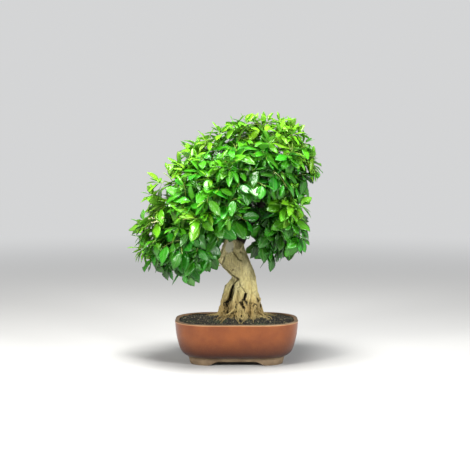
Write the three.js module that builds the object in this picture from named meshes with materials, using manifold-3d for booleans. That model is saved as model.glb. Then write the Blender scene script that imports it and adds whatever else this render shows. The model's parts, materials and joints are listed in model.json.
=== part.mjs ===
// A duranta bonsai in its glazed clay pot: a leaning trunk on bared roots, boughs and leafy shoots.
// Millimetres, +Z up, seen from -Y. The parts are laid out round the pot's middle, on the ground.
import * as THREE from "three";
import { mergeVertices } from "three/addons/utils/BufferGeometryUtils.js";
import Module from "manifold-3d";

// Pot
const POT_LENGTH = 250;
const POT_WIDTH = 186;
const POT_HEIGHT = 87;
const POT_CORNER = 72; // corner radius of the plan at the rim
const CORNER_STEPS = 4;
const RIM_WIDTH = 8;
const FLOOR_UNDER = 9; // underside of the floor, above the ground
const FLOOR_TOP = 18;
const FOOT_INSET = 30; // from the rim's plan to the foot's outside
const FOOT_WALL = 16;
const DRAIN_RADIUS = 10;
const DRAIN_OFFSET = 48; // from the middle to each drain hole, along X
const ARCH_FRONT = 58; // half width of the arch between the feet, at the ground
const ARCH_SIDE = 34;

// Drain screens, which lie on the floor over the holes
const SCREEN_SIZE = 34;
const SCREEN_THICK = 1.2;
const SCREEN_CELLS = 2; // openings each way
const SCREEN_BAR = 2;

// Soil
const SOIL_EDGE = 83; // height of the soil at the rim
const SOIL_CROWN = 99; // height of the mound round the trunk
const SOIL_GRAIN = 1.3; // height of the grains' relief
const SOIL_RINGS = [1, 0.84, 0.64, 0.42, 0.2]; // shares of the plan
const GAP = 0.3; // between pieces that touch

// Leaves: a grown one, and young ones are shorter and narrower
const LEAF_LENGTH = 54;
const LEAF_WIDTH = 32;
const LEAF_THICK = 1.2; // at the rib; the blade thins to its edge
const LEAF_FOLD = 0.14; // rise of the edges, as a share of the half width
const LEAF_RIB = 0.45; // share of the length where the rib has its thickness
const LEAF_EDGE = [[0.22, 0.6], [0.48, 1], [0.68, 0.7], [0.79, 0.66]]; // share of length, of half width

// Shoots
const STEM_LENGTH = 50; // the green end of a shoot, which bears the leaves
const STEM_RADIUS = 1.7;
const TWIG_RADIUS = 2.2;
const CROWN_MIDDLE = new THREE.Vector3(-10, 0, 310);

const UP = new THREE.Vector3(0, 0, 1);
const CLAY = { color: 0x9a4f2c, roughness: 0.35 };
const PLASTIC = { color: 0x1d1f1e, roughness: 0.6 };
const EARTH = { color: 0x2b2824, roughness: 0.95 };
const BARK = { color: 0xb39a68, roughness: 0.8 };
const OLD_GREEN = new THREE.Color(0x1f5a1c);
const YOUNG_GREEN = new THREE.Color(0x6fc019);

const wasm = await Module();
wasm.setup();

const vec = (point) => new THREE.Vector3(...point);
const mix = THREE.MathUtils.lerp;

// An even draw from 0 to 1, the same for the same seed.
function draw(seed) {
  const wave = Math.sin(seed * 12.9898 + 4.1414) * 43758.5453;
  return wave - Math.floor(wave);
}

function solidOf(geometry) {
  const positions = geometry.clone();
  positions.deleteAttribute("normal");
  positions.deleteAttribute("uv");
  const merged = mergeVertices(positions, 1e-4);
  return new wasm.Manifold(
    new wasm.Mesh({
      numProp: 3,
      vertProperties: new Float32Array(merged.attributes.position.array),
      triVerts: new Uint32Array(merged.index.array),
    }),
  );
}

function geometryOf(solid) {
  const { numProp, numVert, vertProperties, triVerts } = solid.getMesh();
  const points = new Float32Array(numVert * 3);
  for (let i = 0; i < numVert; i++) {
    points.set(vertProperties.subarray(i * numProp, i * numProp + 3), i * 3);
  }
  const geometry = new THREE.BufferGeometry();
  geometry.setAttribute("position", new THREE.BufferAttribute(points, 3));
  return geometry.setIndex(new THREE.BufferAttribute(triVerts, 1));
}

function meshOf(name, geometry, look) {
  geometry.computeVertexNormals();
  const mesh = new THREE.Mesh(geometry, new THREE.MeshStandardMaterial(look));
  mesh.name = name;
  return mesh;
}

const closed = (points, faces) =>
  new THREE.BufferGeometry().setFromPoints(points).setIndex(faces.flat());

// A closed skin through rings of equal length, bottom ring first, each anticlockwise from above.
function skin(rings) {
  const n = rings[0].length;
  const last = (rings.length - 1) * n;
  const faces = [];
  for (let i = 1; i < n - 1; i++) {
    faces.push([0, i + 1, i], [last, last + i, last + i + 1]);
  }
  for (let row = 0; row < last; row += n) {
    for (let i = 0; i < n; i++) {
      const next = (i + 1) % n;
      faces.push([row + i, row + next, row + n + next]);
      faces.push([row + i, row + n + next, row + n + i]);
    }
  }
  return closed(rings.flat(), faces);
}

const through = (points) => new THREE.CatmullRomCurve3(points.map(vec), false, "centripetal");

// A regular ring of points round a middle, anticlockwise against the axis that the two directions share.
function ringRound(middle, right, up, radius, sides, twist = 0) {
  return Array.from({ length: sides }, (_, i) => {
    const angle = twist + (2 * Math.PI * i) / sides;
    return middle
      .clone()
      .addScaledVector(right, Math.cos(angle) * radius)
      .addScaledVector(up, Math.sin(angle) * radius);
  });
}

// A limb round a curve, whose radius goes evenly from one end's to the other's.
function limb(curve, { from, to, sides, spans, longer = 0 }) {
  const { tangents, normals, binormals } = curve.computeFrenetFrames(spans);
  const rings = normals.map((normal, k) => {
    const middle = curve.getPointAt(k / spans);
    if (k === spans) middle.addScaledVector(tangents[k], longer);
    return ringRound(middle, normal, binormals[k], mix(from, to, k / spans), sides);
  });
  return solidOf(skin(rings));
}

// The pot's plan at height z: a rectangle with round corners, drawn in from the rim by inset.
function plan(z, inset) {
  const ring = [];
  const radius = POT_CORNER - inset;
  for (const [right, back] of [[1, 1], [-1, 1], [-1, -1], [1, -1]]) {
    const start = Math.atan2(back, right) - Math.PI / 4;
    for (let i = 0; i <= CORNER_STEPS; i++) {
      const angle = start + (Math.PI / 2) * (i / CORNER_STEPS);
      const x = right * (POT_LENGTH / 2 - POT_CORNER) + radius * Math.cos(angle);
      const y = back * (POT_WIDTH / 2 - POT_CORNER) + radius * Math.sin(angle);
      ring.push(new THREE.Vector3(x, y, z));
    }
  }
  return ring;
}

const planned = (profile) => solidOf(skin(profile.map(([z, inset]) => plan(z, inset))));

// The bowl's inside, from the floor up; the soil fills it, drawn in by a gap.
const inside = (gap, top) =>
  planned([
    [FLOOR_TOP + gap, FOOT_INSET + 4 + gap],
    [FLOOR_TOP + 10, 21 + gap],
    [50, 11.5 + gap],
    [POT_HEIGHT - 12, 8.8 + gap],
    [top, RIM_WIDTH + gap],
  ]);

// The opening between two feet, whose ends are stepped like a cloud. It runs along Y.
function arch(half, reach) {
  const right = [[half, -1], [half, 0], [half - 4, 3], [half - 17, 4.2], [half - 25, FLOOR_UNDER]];
  const left = right.map(([x, z]) => [-x, z]).reverse();
  const outline = new THREE.Shape([...right, ...left].map(([x, z]) => new THREE.Vector2(x, z)));
  const geometry = new THREE.ExtrudeGeometry(outline, { depth: 2 * reach, bevelEnabled: false });
  return geometry.translate(0, 0, -reach).rotateX(Math.PI / 2);
}

function drainHole(x) {
  const geometry = new THREE.CylinderGeometry(DRAIN_RADIUS, DRAIN_RADIUS, 4 * FLOOR_UNDER, 10);
  return solidOf(geometry.rotateX(Math.PI / 2).translate(x, 0, FLOOR_UNDER));
}

function pot() {
  const outside = planned([
    [0, FOOT_INSET],
    [14.5, FOOT_INSET - 3],
    [16, FOOT_INSET - 6],
    [20.5, 17],
    [28, 11.2],
    [42, 6.4],
    [60, 2.4],
    [POT_HEIGHT, 0],
  ]);
  const under = planned([
    [-1, FOOT_INSET + FOOT_WALL],
    [FLOOR_UNDER, FOOT_INSET + FOOT_WALL + 1],
  ]);
  return outside
    .subtract(inside(0, POT_HEIGHT + 1))
    .subtract(under)
    .subtract(solidOf(arch(ARCH_FRONT, POT_WIDTH)))
    .subtract(solidOf(arch(ARCH_SIDE, POT_LENGTH).rotateZ(Math.PI / 2)))
    .subtract(drainHole(-DRAIN_OFFSET))
    .subtract(drainHole(DRAIN_OFFSET));
}

// A flat box that stands on height z.
const slab = (width, depth, height, x, y, z) =>
  solidOf(new THREE.BoxGeometry(width, depth, height).translate(x, y, z + height / 2));

// A square of plastic net over the drain hole at x.
function screen(x) {
  const level = FLOOR_TOP + GAP;
  const pitch = (SCREEN_SIZE - SCREEN_BAR) / SCREEN_CELLS;
  const cell = pitch - SCREEN_BAR;
  let net = slab(SCREEN_SIZE, SCREEN_SIZE, SCREEN_THICK, x, 0, level);
  for (let i = 0; i < SCREEN_CELLS; i++) {
    for (let j = 0; j < SCREEN_CELLS; j++) {
      const [u, v] = [i, j].map((k) => (k - (SCREEN_CELLS - 1) / 2) * pitch);
      net = net.subtract(slab(cell, cell, 3 * SCREEN_THICK, x + u, v, level - SCREEN_THICK));
    }
  }
  return geometryOf(net);
}

// Height of the soil: a mound round the trunk that falls to the rim, with grains.
function soilHeight(x, y) {
  const away = Math.hypot((x - 8) / (POT_LENGTH / 2), y / (POT_WIDTH / 2));
  const mound = THREE.MathUtils.smoothstep(1 - away, 0, 0.75);
  const grain = (2 * draw(x * 0.731 + y * 1.377) - 1) * SOIL_GRAIN;
  return mix(SOIL_EDGE, SOIL_CROWN, mound) + grain;
}

// The soil fills the bowl under a web of rings with grains, and the roots stand in plain holes in it.
function soil(roots) {
  const web = SOIL_RINGS.map((share) =>
    plan(0, 0).map(({ x, y }, i) => {
      const reach = share * (share < 1 ? 1 + 0.06 * (draw(i + share * 91) - 0.5) : 1.1);
      return new THREE.Vector3(x * reach, y * reach, soilHeight(x * reach, y * reach));
    }),
  );
  const under = web[0].map(({ x, y }) => new THREE.Vector3(x, y, 0));
  let earth = solidOf(skin([under, ...web])).intersect(inside(GAP, SOIL_CROWN + 9));
  for (const x of [-DRAIN_OFFSET, DRAIN_OFFSET]) {
    const room = SCREEN_SIZE + 2 * GAP;
    earth = earth.subtract(slab(room, room, SCREEN_THICK + 3 * GAP, x, 0, FLOOR_TOP - GAP));
  }
  return roots.reduce((rest, root) => rest.subtract(root), earth);
}

// The trunk leans and swells up to the head that the boughs leave from.
const TRUNK = [
  [14, 2, 118], [14, 1, 148], [14, 0, 172], [2, 0, 192], [-4, 0, 207], [-6, 0, 226], [-7, 0, 250],
];
const TRUNK_RADII = [17, 24, 24, 31, 33, 26, 17];
const TRUNK_SIDES = 12;

function trunk() {
  const fluted = TRUNK.map(([x, y, z], k) =>
    Array.from({ length: TRUNK_SIDES }, (_, i) => {
      const angle = (2 * Math.PI * i) / TRUNK_SIDES;
      const flute = 1 + 0.07 * Math.sin(3 * angle + k) + 0.04 * Math.sin(5 * angle - 2 * k);
      const reach = TRUNK_RADII[k] * flute;
      return new THREE.Vector3(x + reach * Math.cos(angle), y + 0.9 * reach * Math.sin(angle), z);
    }),
  );
  return solidOf(skin(fluted));
}

// The bared roots: each leaves the trunk, runs down and out, and goes into the soil.
const ROOTS = [
  { path: [[7, 0, 178], [-14, -2, 152], [-22, -4, 122], [-37, -6, 80]], thick: [11, 9.5] },
  { path: [[6, -12, 166], [-1, -19, 140], [-7, -27, 112], [-14, -35, 82]], thick: [9, 5.5] },
  { path: [[13, -15, 166], [9, -22, 140], [5, -32, 112], [0, -45, 82]], thick: [9.5, 5.5] },
  { path: [[23, -15, 166], [22, -22, 140], [19, -32, 112], [15, -48, 82]], thick: [9.5, 6] },
  { path: [[30, -8, 166], [32, -17, 140], [33, -27, 112], [33, -41, 82]], thick: [10, 6] },
  { path: [[27, 2, 172], [34, -2, 140], [43, -4, 112], [53, -6, 80]], thick: [12, 9] },
  { path: [[24, 10, 166], [32, 18, 138], [40, 27, 110], [49, 39, 80]], thick: [11, 7] },
  { path: [[13, 14, 166], [15, 22, 138], [17, 34, 110], [20, 50, 80]], thick: [10, 7] },
  { path: [[2, 11, 166], [-2, 19, 138], [-8, 32, 110], [-13, 46, 80]], thick: [11, 7] },
  { path: [[0, 6, 166], [-12, 10, 138], [-20, 16, 110], [-32, 24, 80]], thick: [9, 6] },
  { path: [[-18, -12, 124], [-8, -31, 106], [8, -45, 94], [22, -56, 82]], thick: [3.6, 2.4] },
  { path: [[12, -24, 122], [-6, -36, 107], [-24, -42, 96], [-40, -46, 82]], thick: [3.6, 2.4] },
];
const ROOT_SIDES = 5;

// The roots, or with a gap the holes that they stand in.
function roots(gap) {
  const wider = gap / Math.cos(Math.PI / ROOT_SIDES);
  const sizes = { sides: ROOT_SIDES, spans: 3, longer: gap };
  return ROOTS.map(({ path, thick: [from, to] }) =>
    limb(through(path), { ...sizes, from: from + wider, to: to + wider }),
  );
}

// Boughs, and the shoots that each bears: [x, y, z, youth] is where a shoot's leaves gather, and how
// young they are, from 0, dark and broad, to 1, bright and narrow.
const BOUGHS = [
  {
    path: [[2, 0, 236], [31, 5, 284], [60, 5, 329], [64, 0, 386], [51, 0, 431]],
    thick: [12, 3.5],
    shoots: [[51, -10, 470, 0.8], [98, 0, 462, 0.9], [50, -90, 430, 0.5], [60, 70, 452, 0.6]],
  },
  {
    path: [[60, 4, 329], [88, -18, 322], [100, -26, 300], [102, -24, 266]],
    thick: [6, 2.5],
    shoots: [
      [105, -88, 322, 0.45], [114, -40, 286, 0], [84, -80, 280, 0], [48, -64, 256, 0.1],
      [112, 14, 250, 0], [66, -36, 236, 0],
    ],
  },
  {
    path: [[63, 3, 355], [84, 0, 385], [108, -6, 406]],
    thick: [6, 2.5],
    shoots: [
      [110, -60, 428, 0.6], [130, 20, 430, 0.6], [140, -4, 406, 0.9], [72, -110, 385, 0.1],
      [120, -34, 366, 0], [112, 60, 375, 0.1],
    ],
  },
  {
    path: [[4, 0, 244], [-17, -8, 300], [-54, -10, 345], [-94, -8, 378]],
    thick: [9, 3],
    shoots: [
      [-76, -4, 424, 0.7], [-94, -62, 396, 0.9], [-61, -108, 388, 0.6], [-130, -30, 363, 0.9],
      [-33, -10, 444, 0.8], [-70, 70, 408, 0.5],
    ],
  },
  {
    path: [[-5, 0, 244], [-44, -8, 279], [-94, -14, 290], [-140, -10, 276], [-160, -4, 256]],
    thick: [9, 2.5],
    shoots: [
      [-147, -42, 322, 0.8], [-162, -32, 287, 0.5], [-184, 0, 274, 0.2], [-184, -22, 240, 0.9],
      [-150, -62, 247, 0], [-140, -22, 212, 0], [-150, 50, 310, 0.5],
    ],
  },
  {
    path: [[4, 0, 250], [-1, -46, 302], [-16, -84, 344], [-20, -98, 372]],
    thick: [7, 2.5],
    shoots: [
      [5, -112, 420, 0.8], [-17, -134, 402, 1], [22, -138, 374, 0.3], [-55, -136, 358, 0.7],
      [-21, -132, 326, 0.6], [7, -20, 456, 0.8], [-6, -92, 296, 0.2],
    ],
  },
  {
    path: [[-30, -8, 268], [-52, -50, 290], [-74, -78, 284], [-90, -84, 262]],
    thick: [6, 2.5],
    shoots: [
      [-103, -90, 336, 0.5], [-76, -142, 299, 1], [-38, -112, 293, 0.2], [-112, -118, 244, 0],
      [-64, -92, 234, 0], [-98, -40, 214, 0],
    ],
  },
  {
    path: [[6, 4, 246], [14, 44, 300], [4, 86, 338], [-8, 104, 366]],
    thick: [8, 3],
    shoots: [
      [20, 140, 380, 0.5], [-40, 140, 370, 0.5], [0, 110, 425, 0.6], [-20, 142, 310, 0.3],
      [70, 130, 345, 0.3],
    ],
  },
  {
    path: [[-4, 6, 244], [-36, 44, 282], [-74, 72, 292], [-104, 84, 276]],
    thick: [7, 2.5],
    shoots: [
      [-90, 128, 320, 0.5], [-130, 100, 265, 0.2], [-60, 110, 246, 0], [-105, 60, 220, 0],
    ],
  },
  {
    path: [[40, 6, 300], [64, 44, 306], [82, 76, 296]],
    thick: [5, 2.5],
    shoots: [[100, 110, 290, 0.2], [60, 110, 258, 0], [128, 62, 290, 0.1]],
  },
];

// The share of a bough's length that lies nearest to a place.
function nearest(curve, place) {
  const shares = Array.from({ length: 21 }, (_, k) => k / 20);
  const away = (share) => curve.getPointAt(share).distanceTo(place);
  return shares.reduce((best, share) => (away(share) < away(best) ? share : best));
}

// The shoots leave their bough at even steps, in the order in which their heads lie along it. Each arches
// to its head, as brown twig as far as the parting and then as green stem.
function shootsOf(bough) {
  const curve = through(bough.path);
  const heads = bough.shoots.map(([x, y, z, youth]) => ({ head: new THREE.Vector3(x, y, z), youth }));
  heads.sort((a, b) => nearest(curve, a.head) - nearest(curve, b.head));
  return heads.map(({ head, youth }, order) => {
    const seat = curve.getPointAt(mix(0.35, 0.97, order / (heads.length - 1)));
    const crest = seat.clone().lerp(head, 0.5).addScaledVector(UP, 0.2 * head.distanceTo(seat));
    const length = new THREE.QuadraticBezierCurve3(seat, crest, head).getLength();
    const parting = Math.max(0.25, 1 - STEM_LENGTH / length);
    const [before, after] = [seat.clone().lerp(crest, parting), crest.clone().lerp(head, parting)];
    const end = before.clone().lerp(after, parting);
    return {
      head,
      youth,
      twig: new THREE.QuadraticBezierCurve3(seat, before, end),
      stem: new THREE.QuadraticBezierCurve3(end, after, head),
    };
  });
}

const twigOf = ({ twig }) =>
  limb(twig, { from: 1.3 * TWIG_RADIUS, to: TWIG_RADIUS, sides: 3, spans: 1 });

// Leaves stand round the stem at its joints: share of the stem, sides with a leaf, opening in degrees, size.
const JOINTS = [
  { share: 0, sides: [0, 2], opening: 78, size: 1 },
  { share: 0.52, sides: [0, 1, 2, 3], opening: 72, size: 1 },
  { share: 0.94, sides: [1, 3], opening: 48, size: 0.95 },
];
const END_LEAF = { opening: 18, size: 0.85 };
const SOCKET = 0.06; // height of a joint, as a share of the stem
const TOUCH = 0.0003; // common volume below which two leaves of a joint only touch, in cubic mm
const LEAST_LEAN = 0.5; // a leaf leaves its seat at least this steeply, as the cosine from the seat's normal
const TRIES = 13;

// The green stem is four-sided, with a ring below and above each joint. It starts clear of its twig.
function stemOf({ stem }, number) {
  const steps = 50;
  const twist = draw(number * 7.3) * Math.PI;
  const { tangents, normals, binormals } = stem.computeFrenetFrames(steps);
  return JOINTS.flatMap(({ share }) => [share, share + SOCKET]).map((share) => {
    const middle = stem.getPointAt(mix(GAP / stem.getLength(), 1, share));
    const step = Math.round(share * steps);
    const radius = mix(STEM_RADIUS, 0.75 * STEM_RADIUS, share);
    const ring = ringRound(middle, normals[step], binormals[step], radius, 4, twist);
    return { ring, axis: tangents[step] };
  });
}

// The places for leaves on a stem, from its end down: the four corners of each, anticlockwise from outside.
function seatsOf(stem) {
  const end = stem.at(-1);
  const seats = JOINTS.flatMap((joint, k) => {
    const [low, high] = [stem[2 * k], stem[2 * k + 1]];
    return joint.sides.map((side) => {
      const next = (side + 1) % 4;
      const corners = [low.ring[side], low.ring[next], high.ring[next], high.ring[side]];
      return { ...joint, corners, axis: low.axis };
    });
  });
  return [...seats, { ...END_LEAF, corners: end.ring, axis: end.axis }].reverse();
}

// The leaf for a seat. Each further try turns it aside and makes it a little smaller.
function leafOn({ corners, axis, opening, size }, { head, youth }, seed, attempt) {
  const stray = (k) => draw(seed + k * 3.7) - 0.5;
  const swing = (attempt % 2 ? 1 : -1) * Math.ceil(attempt / 2);
  const base = corners.reduce((sum, corner) => sum.add(corner), new THREE.Vector3()).divideScalar(4);
  const outward = head.clone().sub(CROWN_MIDDLE).normalize();
  const light = outward.clone().addScaledVector(UP, 0.55).normalize();
  const seatNormal = corners[1].clone().sub(corners[0]).cross(corners[3].clone().sub(corners[0]));
  seatNormal.normalize();
  const away = seatNormal.clone();
  away.applyAxisAngle(axis, THREE.MathUtils.degToRad(36 * stray(1) + 9 * swing));
  const open = THREE.MathUtils.degToRad(opening * mix(1, 0.8, youth) + 16 * stray(2) + 4 * swing);
  const droop = (mix(1.1, 0.1, youth) + 0.3 * stray(3)) * (1 - 0.6 * Math.max(0, away.z));
  const along = axis.clone().multiplyScalar(Math.cos(open)).addScaledVector(away, Math.sin(open));
  along.addScaledVector(UP, -droop).normalize();
  const lean = along.dot(seatNormal);
  if (lean < LEAST_LEAN) along.addScaledVector(seatNormal, LEAST_LEAN - lean).normalize();
  const face = light.clone().addScaledVector(axis.clone().cross(light), 0.5 * stray(4));
  face.addScaledVector(along, -face.dot(along)).normalize();
  const grown = size * (1 - 0.05 * attempt) * (1 + 0.22 * stray(5));
  const length = LEAF_LENGTH * grown * mix(1, 0.86, youth);
  const width = LEAF_WIDTH * grown * mix(1, 0.62, youth);
  const bend = length * (0.12 + 0.1 * stray(6) + 0.1 * youth);
  return { corners, base, along, face, length, width, bend };
}

// A leaf's own points: rib top, rib bottom, right edge, left edge and tip. The rib bends from its face.
function bladePoints({ base, along, face, length, width, bend }) {
  const side = along.clone().cross(face);
  const at = (s, across, up) => {
    const lift = face.clone().addScaledVector(along, (2 * bend * s) / length).normalize();
    return base
      .clone()
      .addScaledVector(along, s * length)
      .addScaledVector(face, -bend * s * s)
      .addScaledVector(side, (across * width) / 2)
      .addScaledVector(lift, up);
  };
  const rise = (LEAF_FOLD * width) / 2;
  const edge = (sign) => LEAF_EDGE.map(([s, half]) => at(s, sign * half, rise * half));
  const rib = [LEAF_THICK / 2, -LEAF_THICK / 2].map((up) => at(LEAF_RIB, 0, up));
  return [...rib, ...edge(1), ...edge(-1), at(1, 0, 0)];
}

const [TOP, BOTTOM, RIGHT, LEFT, TIP] = [0, 1, 2, 6, 10];

// Faces of the blade beyond its first ring, split alike above and below, so that they never meet.
function bladeFaces() {
  const fan = (rib, edge) => [
    [rib, edge, edge + 1],
    [rib, edge + 1, edge + 2],
    [rib, edge + 2, edge + 3],
    [rib, edge + 3, TIP],
  ];
  const turned = (faces) => faces.map(([a, b, c]) => [a, c, b]);
  return [
    ...fan(TOP, RIGHT),
    ...turned(fan(TOP, LEFT)),
    ...turned(fan(BOTTOM, RIGHT)),
    ...fan(BOTTOM, LEFT),
  ];
}

// The leaf's skin from the four corners of its seat, whose points come after the blade's own.
function leafFaces({ corners, face }) {
  const ring = [TOP, RIGHT, BOTTOM, LEFT];
  const middle = corners[0].clone().add(corners[2]).multiplyScalar(0.5);
  const toward = (r) =>
    corners[r].clone().add(corners[(r + 1) % 4]).multiplyScalar(0.5).sub(middle).dot(face);
  const first = [0, 1, 2, 3].reduce((best, r) => (toward(r) > toward(best) ? r : best));
  const faces = bladeFaces();
  for (let k = 0; k < 4; k++) {
    const corner = TIP + 1 + ((first + k) % 4);
    const next = TIP + 1 + ((first + k + 1) % 4);
    faces.push([corner, next, ring[k]], [next, ring[(k + 1) % 4], ring[k]]);
  }
  return faces;
}

const wholeLeaf = (leaf) => {
  const cap = [[0, 3, 2], [0, 2, 1]].map((face) => face.map((corner) => TIP + 1 + corner));
  return solidOf(closed([...bladePoints(leaf), ...leaf.corners], [...leafFaces(leaf), ...cap]));
};

const outerLeaf = (leaf) => {
  const cap = [[TOP, LEFT, BOTTOM], [TOP, BOTTOM, RIGHT]];
  return solidOf(closed(bladePoints(leaf), [...bladeFaces(), ...cap]));
};

// Stem and leaves as one skin: a leaf takes the place of its seat's two triangles.
function sprayOf(stem, leaves) {
  const points = stem.flatMap(({ ring }) => ring);
  const taken = new Set();
  const faces = [];
  for (const leaf of leaves) {
    const own = bladePoints(leaf);
    const start = points.length;
    const seats = leaf.corners.map((corner) => points.indexOf(corner));
    points.push(...own);
    taken.add([...seats].sort().join());
    const index = (i) => (i > TIP ? seats[i - TIP - 1] : start + i);
    faces.push(...leafFaces(leaf).map((face) => face.map(index)));
  }
  const close = (...corners) => {
    if (taken.has([...corners].sort().join())) return;
    const [a, b, c, d] = corners;
    faces.push([a, b, c], [a, c, d]);
  };
  const last = 4 * (stem.length - 1);
  close(3, 2, 1, 0);
  for (let row = 0; row < last; row += 4) {
    for (let i = 0; i < 4; i++) {
      const next = (i + 1) % 4;
      close(row + i, row + next, row + 4 + next, row + 4 + i);
    }
  }
  close(last, last + 1, last + 2, last + 3);
  return closed(points, faces);
}

const kept = (solid) => ({ solid, bounds: solid.boundingBox() });
const apart = (a, b) => [0, 1, 2].some((k) => a.min[k] > b.max[k] || b.min[k] > a.max[k]);

// Whether a solid reaches into any of the others, boxes first.
const crosses = ({ solid, bounds }, others, most = 0) =>
  others.some((other) => !apart(bounds, other.bounds) && solid.intersect(other.solid).volume() > most);

// The first form of a leaf that is clear of the wood, of the other sprays and of its own spray.
function clearLeaf(seat, shoot, seed, others, spray) {
  for (let attempt = 0; attempt < TRIES; attempt++) {
    const leaf = leafOn(seat, shoot, seed, attempt);
    const [whole, outer] = [kept(wholeLeaf(leaf)), kept(outerLeaf(leaf))];
    if (crosses(whole, others) || crosses(outer, [spray.core, ...spray.wholes])) continue;
    if (crosses(whole, spray.outers) || crosses(whole, [spray.core, ...spray.wholes], TOUCH)) continue;
    spray.leaves.push(leaf);
    spray.wholes.push(whole);
    spray.outers.push(outer);
    return;
  }
}

// Places the leaves seat by seat over the whole crown, and leaves out one that finds no clear place.
function foliage(shoots, wood) {
  const sprays = shoots.map((shoot, number) => {
    const stem = stemOf(shoot, number);
    const core = kept(solidOf(skin(stem.map(({ ring }) => ring))));
    return { stem, core, seats: seatsOf(stem), leaves: [], wholes: [], outers: [] };
  });
  for (const place of sprays[0].seats.keys()) {
    sprays.forEach((spray, number) => {
      const rest = sprays.filter((other) => other !== spray);
      const others = [kept(wood), ...rest.flatMap(({ core, wholes }) => [core, ...wholes])];
      clearLeaf(spray.seats[place], shoots[number], number * 97 + place * 11, others, spray);
    });
  }
  return sprays.map(({ stem, leaves }) => sprayOf(stem, leaves));
}

function build() {
  const boughs = BOUGHS.map(({ path, thick: [from, to] }) =>
    limb(through(path), { from, to, sides: 5, spans: path.length - 1 }),
  );
  const shoots = BOUGHS.flatMap(shootsOf);
  const wood = wasm.Manifold.union([trunk(), ...roots(0), ...boughs, ...shoots.map(twigOf)]);
  const bonsai = new THREE.Group();
  bonsai.add(meshOf("pot", geometryOf(pot()), CLAY));
  bonsai.add(meshOf("drain_screen_left", screen(-DRAIN_OFFSET), PLASTIC));
  bonsai.add(meshOf("drain_screen_right", screen(DRAIN_OFFSET), PLASTIC));
  bonsai.add(meshOf("soil", geometryOf(soil(roots(GAP))), EARTH));
  bonsai.add(meshOf("wood", geometryOf(wood), BARK));
  foliage(shoots, wood).forEach((spray, number) => {
    const color = OLD_GREEN.clone().lerp(YOUNG_GREEN, shoots[number].youth);
    const name = `spray_${String(number + 1).padStart(2, "0")}`;
    bonsai.add(meshOf(name, spray, { color, roughness: 0.4 }));
  });
  return bonsai;
}

const bonsai = build();

// The part's origin is under the middle of the whole, on the ground.
const middle = new THREE.Box3().setFromObject(bonsai).getCenter(new THREE.Vector3());
bonsai.position.set(-middle.x, -middle.y, 0);

export default bonsai;
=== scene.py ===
"""A duranta bonsai in its glazed clay pot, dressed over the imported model. Metres, +Z up, seen from -Y."""

import json
import math
import random

import bmesh
import bpy
import numpy as np
from mathutils import Matrix, Vector, noise
from mathutils.bvhtree import BVHTree
from mathutils.kdtree import KDTree


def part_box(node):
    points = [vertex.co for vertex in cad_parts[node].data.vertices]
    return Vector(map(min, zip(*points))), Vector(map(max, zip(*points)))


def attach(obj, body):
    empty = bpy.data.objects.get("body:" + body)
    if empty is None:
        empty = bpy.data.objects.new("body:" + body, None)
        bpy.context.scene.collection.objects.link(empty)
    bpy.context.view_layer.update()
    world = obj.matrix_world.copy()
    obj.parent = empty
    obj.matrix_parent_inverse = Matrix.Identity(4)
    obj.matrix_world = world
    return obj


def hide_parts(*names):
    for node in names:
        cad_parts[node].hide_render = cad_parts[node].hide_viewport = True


MM = 0.001
UP = Vector((0, 0, 1))

# Camera, as it stood before the tree: a 470 pixel square frame
FRAME_PIXELS = 470
FOCAL_PIXELS = 1290.5
SENSOR = 36.0
CAMERA_AWAY = 2618.2 * MM
CAMERA_HEIGHT = 479.1 * MM
CAMERA_ASIDE = -3.2 * MM
CAMERA_DOWN = 0.0842  # radians below level
PALE = (0.66, 0.665, 0.67)  # the room round the floor

# Pot: heights, and insets from the rim's plan
POT_CORNER = 72 * MM
POT_OUTSIDE = [(16, 24), (18, 20.4), (20.5, 17), (24, 13.7), (28, 11.2), (34, 8.8), (42, 6.4), (51, 4.2),
               (60, 2.4), (74, 0.9), (84.6, 0.1)]
POT_FOOT = [(0, 31), (0.8, 30.1), (10.4, 28.4), (11.2, 28.7), (12.2, 28.4), (12.8, 27.2), (14.6, 26.8),
            (15.3, 26.2), (15.7, 24.8)]
POT_INSIDE = [(84.8, 7.8), (75, 8.8), (50, 11.5), (28, 21), (18, 34)]
POT_RIM = 8.0
FOOT_INSIDE = [(9, 47), (0.8, 46.2), (0, 45.4)]
ARCH_LIFT = 7.8  # of 9: a thin lip of the foot ring runs over each arch
ARCH_FRONT = 58.0
ARCH_SIDE = 34.0
ARCH_SLOPE = 20.0
DRAIN_RADIUS = 10.0
DRAIN_OFFSET = 48.0
FLOOR_MIDDLE = 13  # height of the middle of the pot's floor
WALL_BOW = 0.35  # how far the wall strays, as thrown clay does
GLAZE_FROM, GLAZE_TO = 15.6, 85.9  # heights between which the outside is glazed

# Nets over the drain holes
NET_BARS = 13
NET_BAR = 0.9 * MM

# Soil: a mound that is highest round the trunk
SOIL_EDGE = 83 * MM
SOIL_CROWN = 99 * MM
MOUND_MIDDLE = Vector((8 * MM, 0, 0))

# Wood
WOOD_VOXEL = 1.0 * MM
WOOD_TRIANGLES = 190000
TRUNK_TOP = 262 * MM
TRUNK_LINE = [(14, 2, 84), (14, 2, 118), (14, 1, 148), (14, 0, 172), (2, 0, 192), (-4, 0, 207), (-6, 0, 226),
              (-7, 0, 250)]
SCAR_MIDDLE = (-15, -18, 236)
SCAR_FACING = (-0.4, -0.85, 0.28)
SCAR_SIZE = (9.5, 12.5)  # half width and half height, along the face
FLARE_MIDDLE = (8, -1)
FLARE_SPREAD = (45, 47)  # half widths at the soil
FUSED_ROOTS = 22
LOOSE_ROOTS = 84

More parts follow.
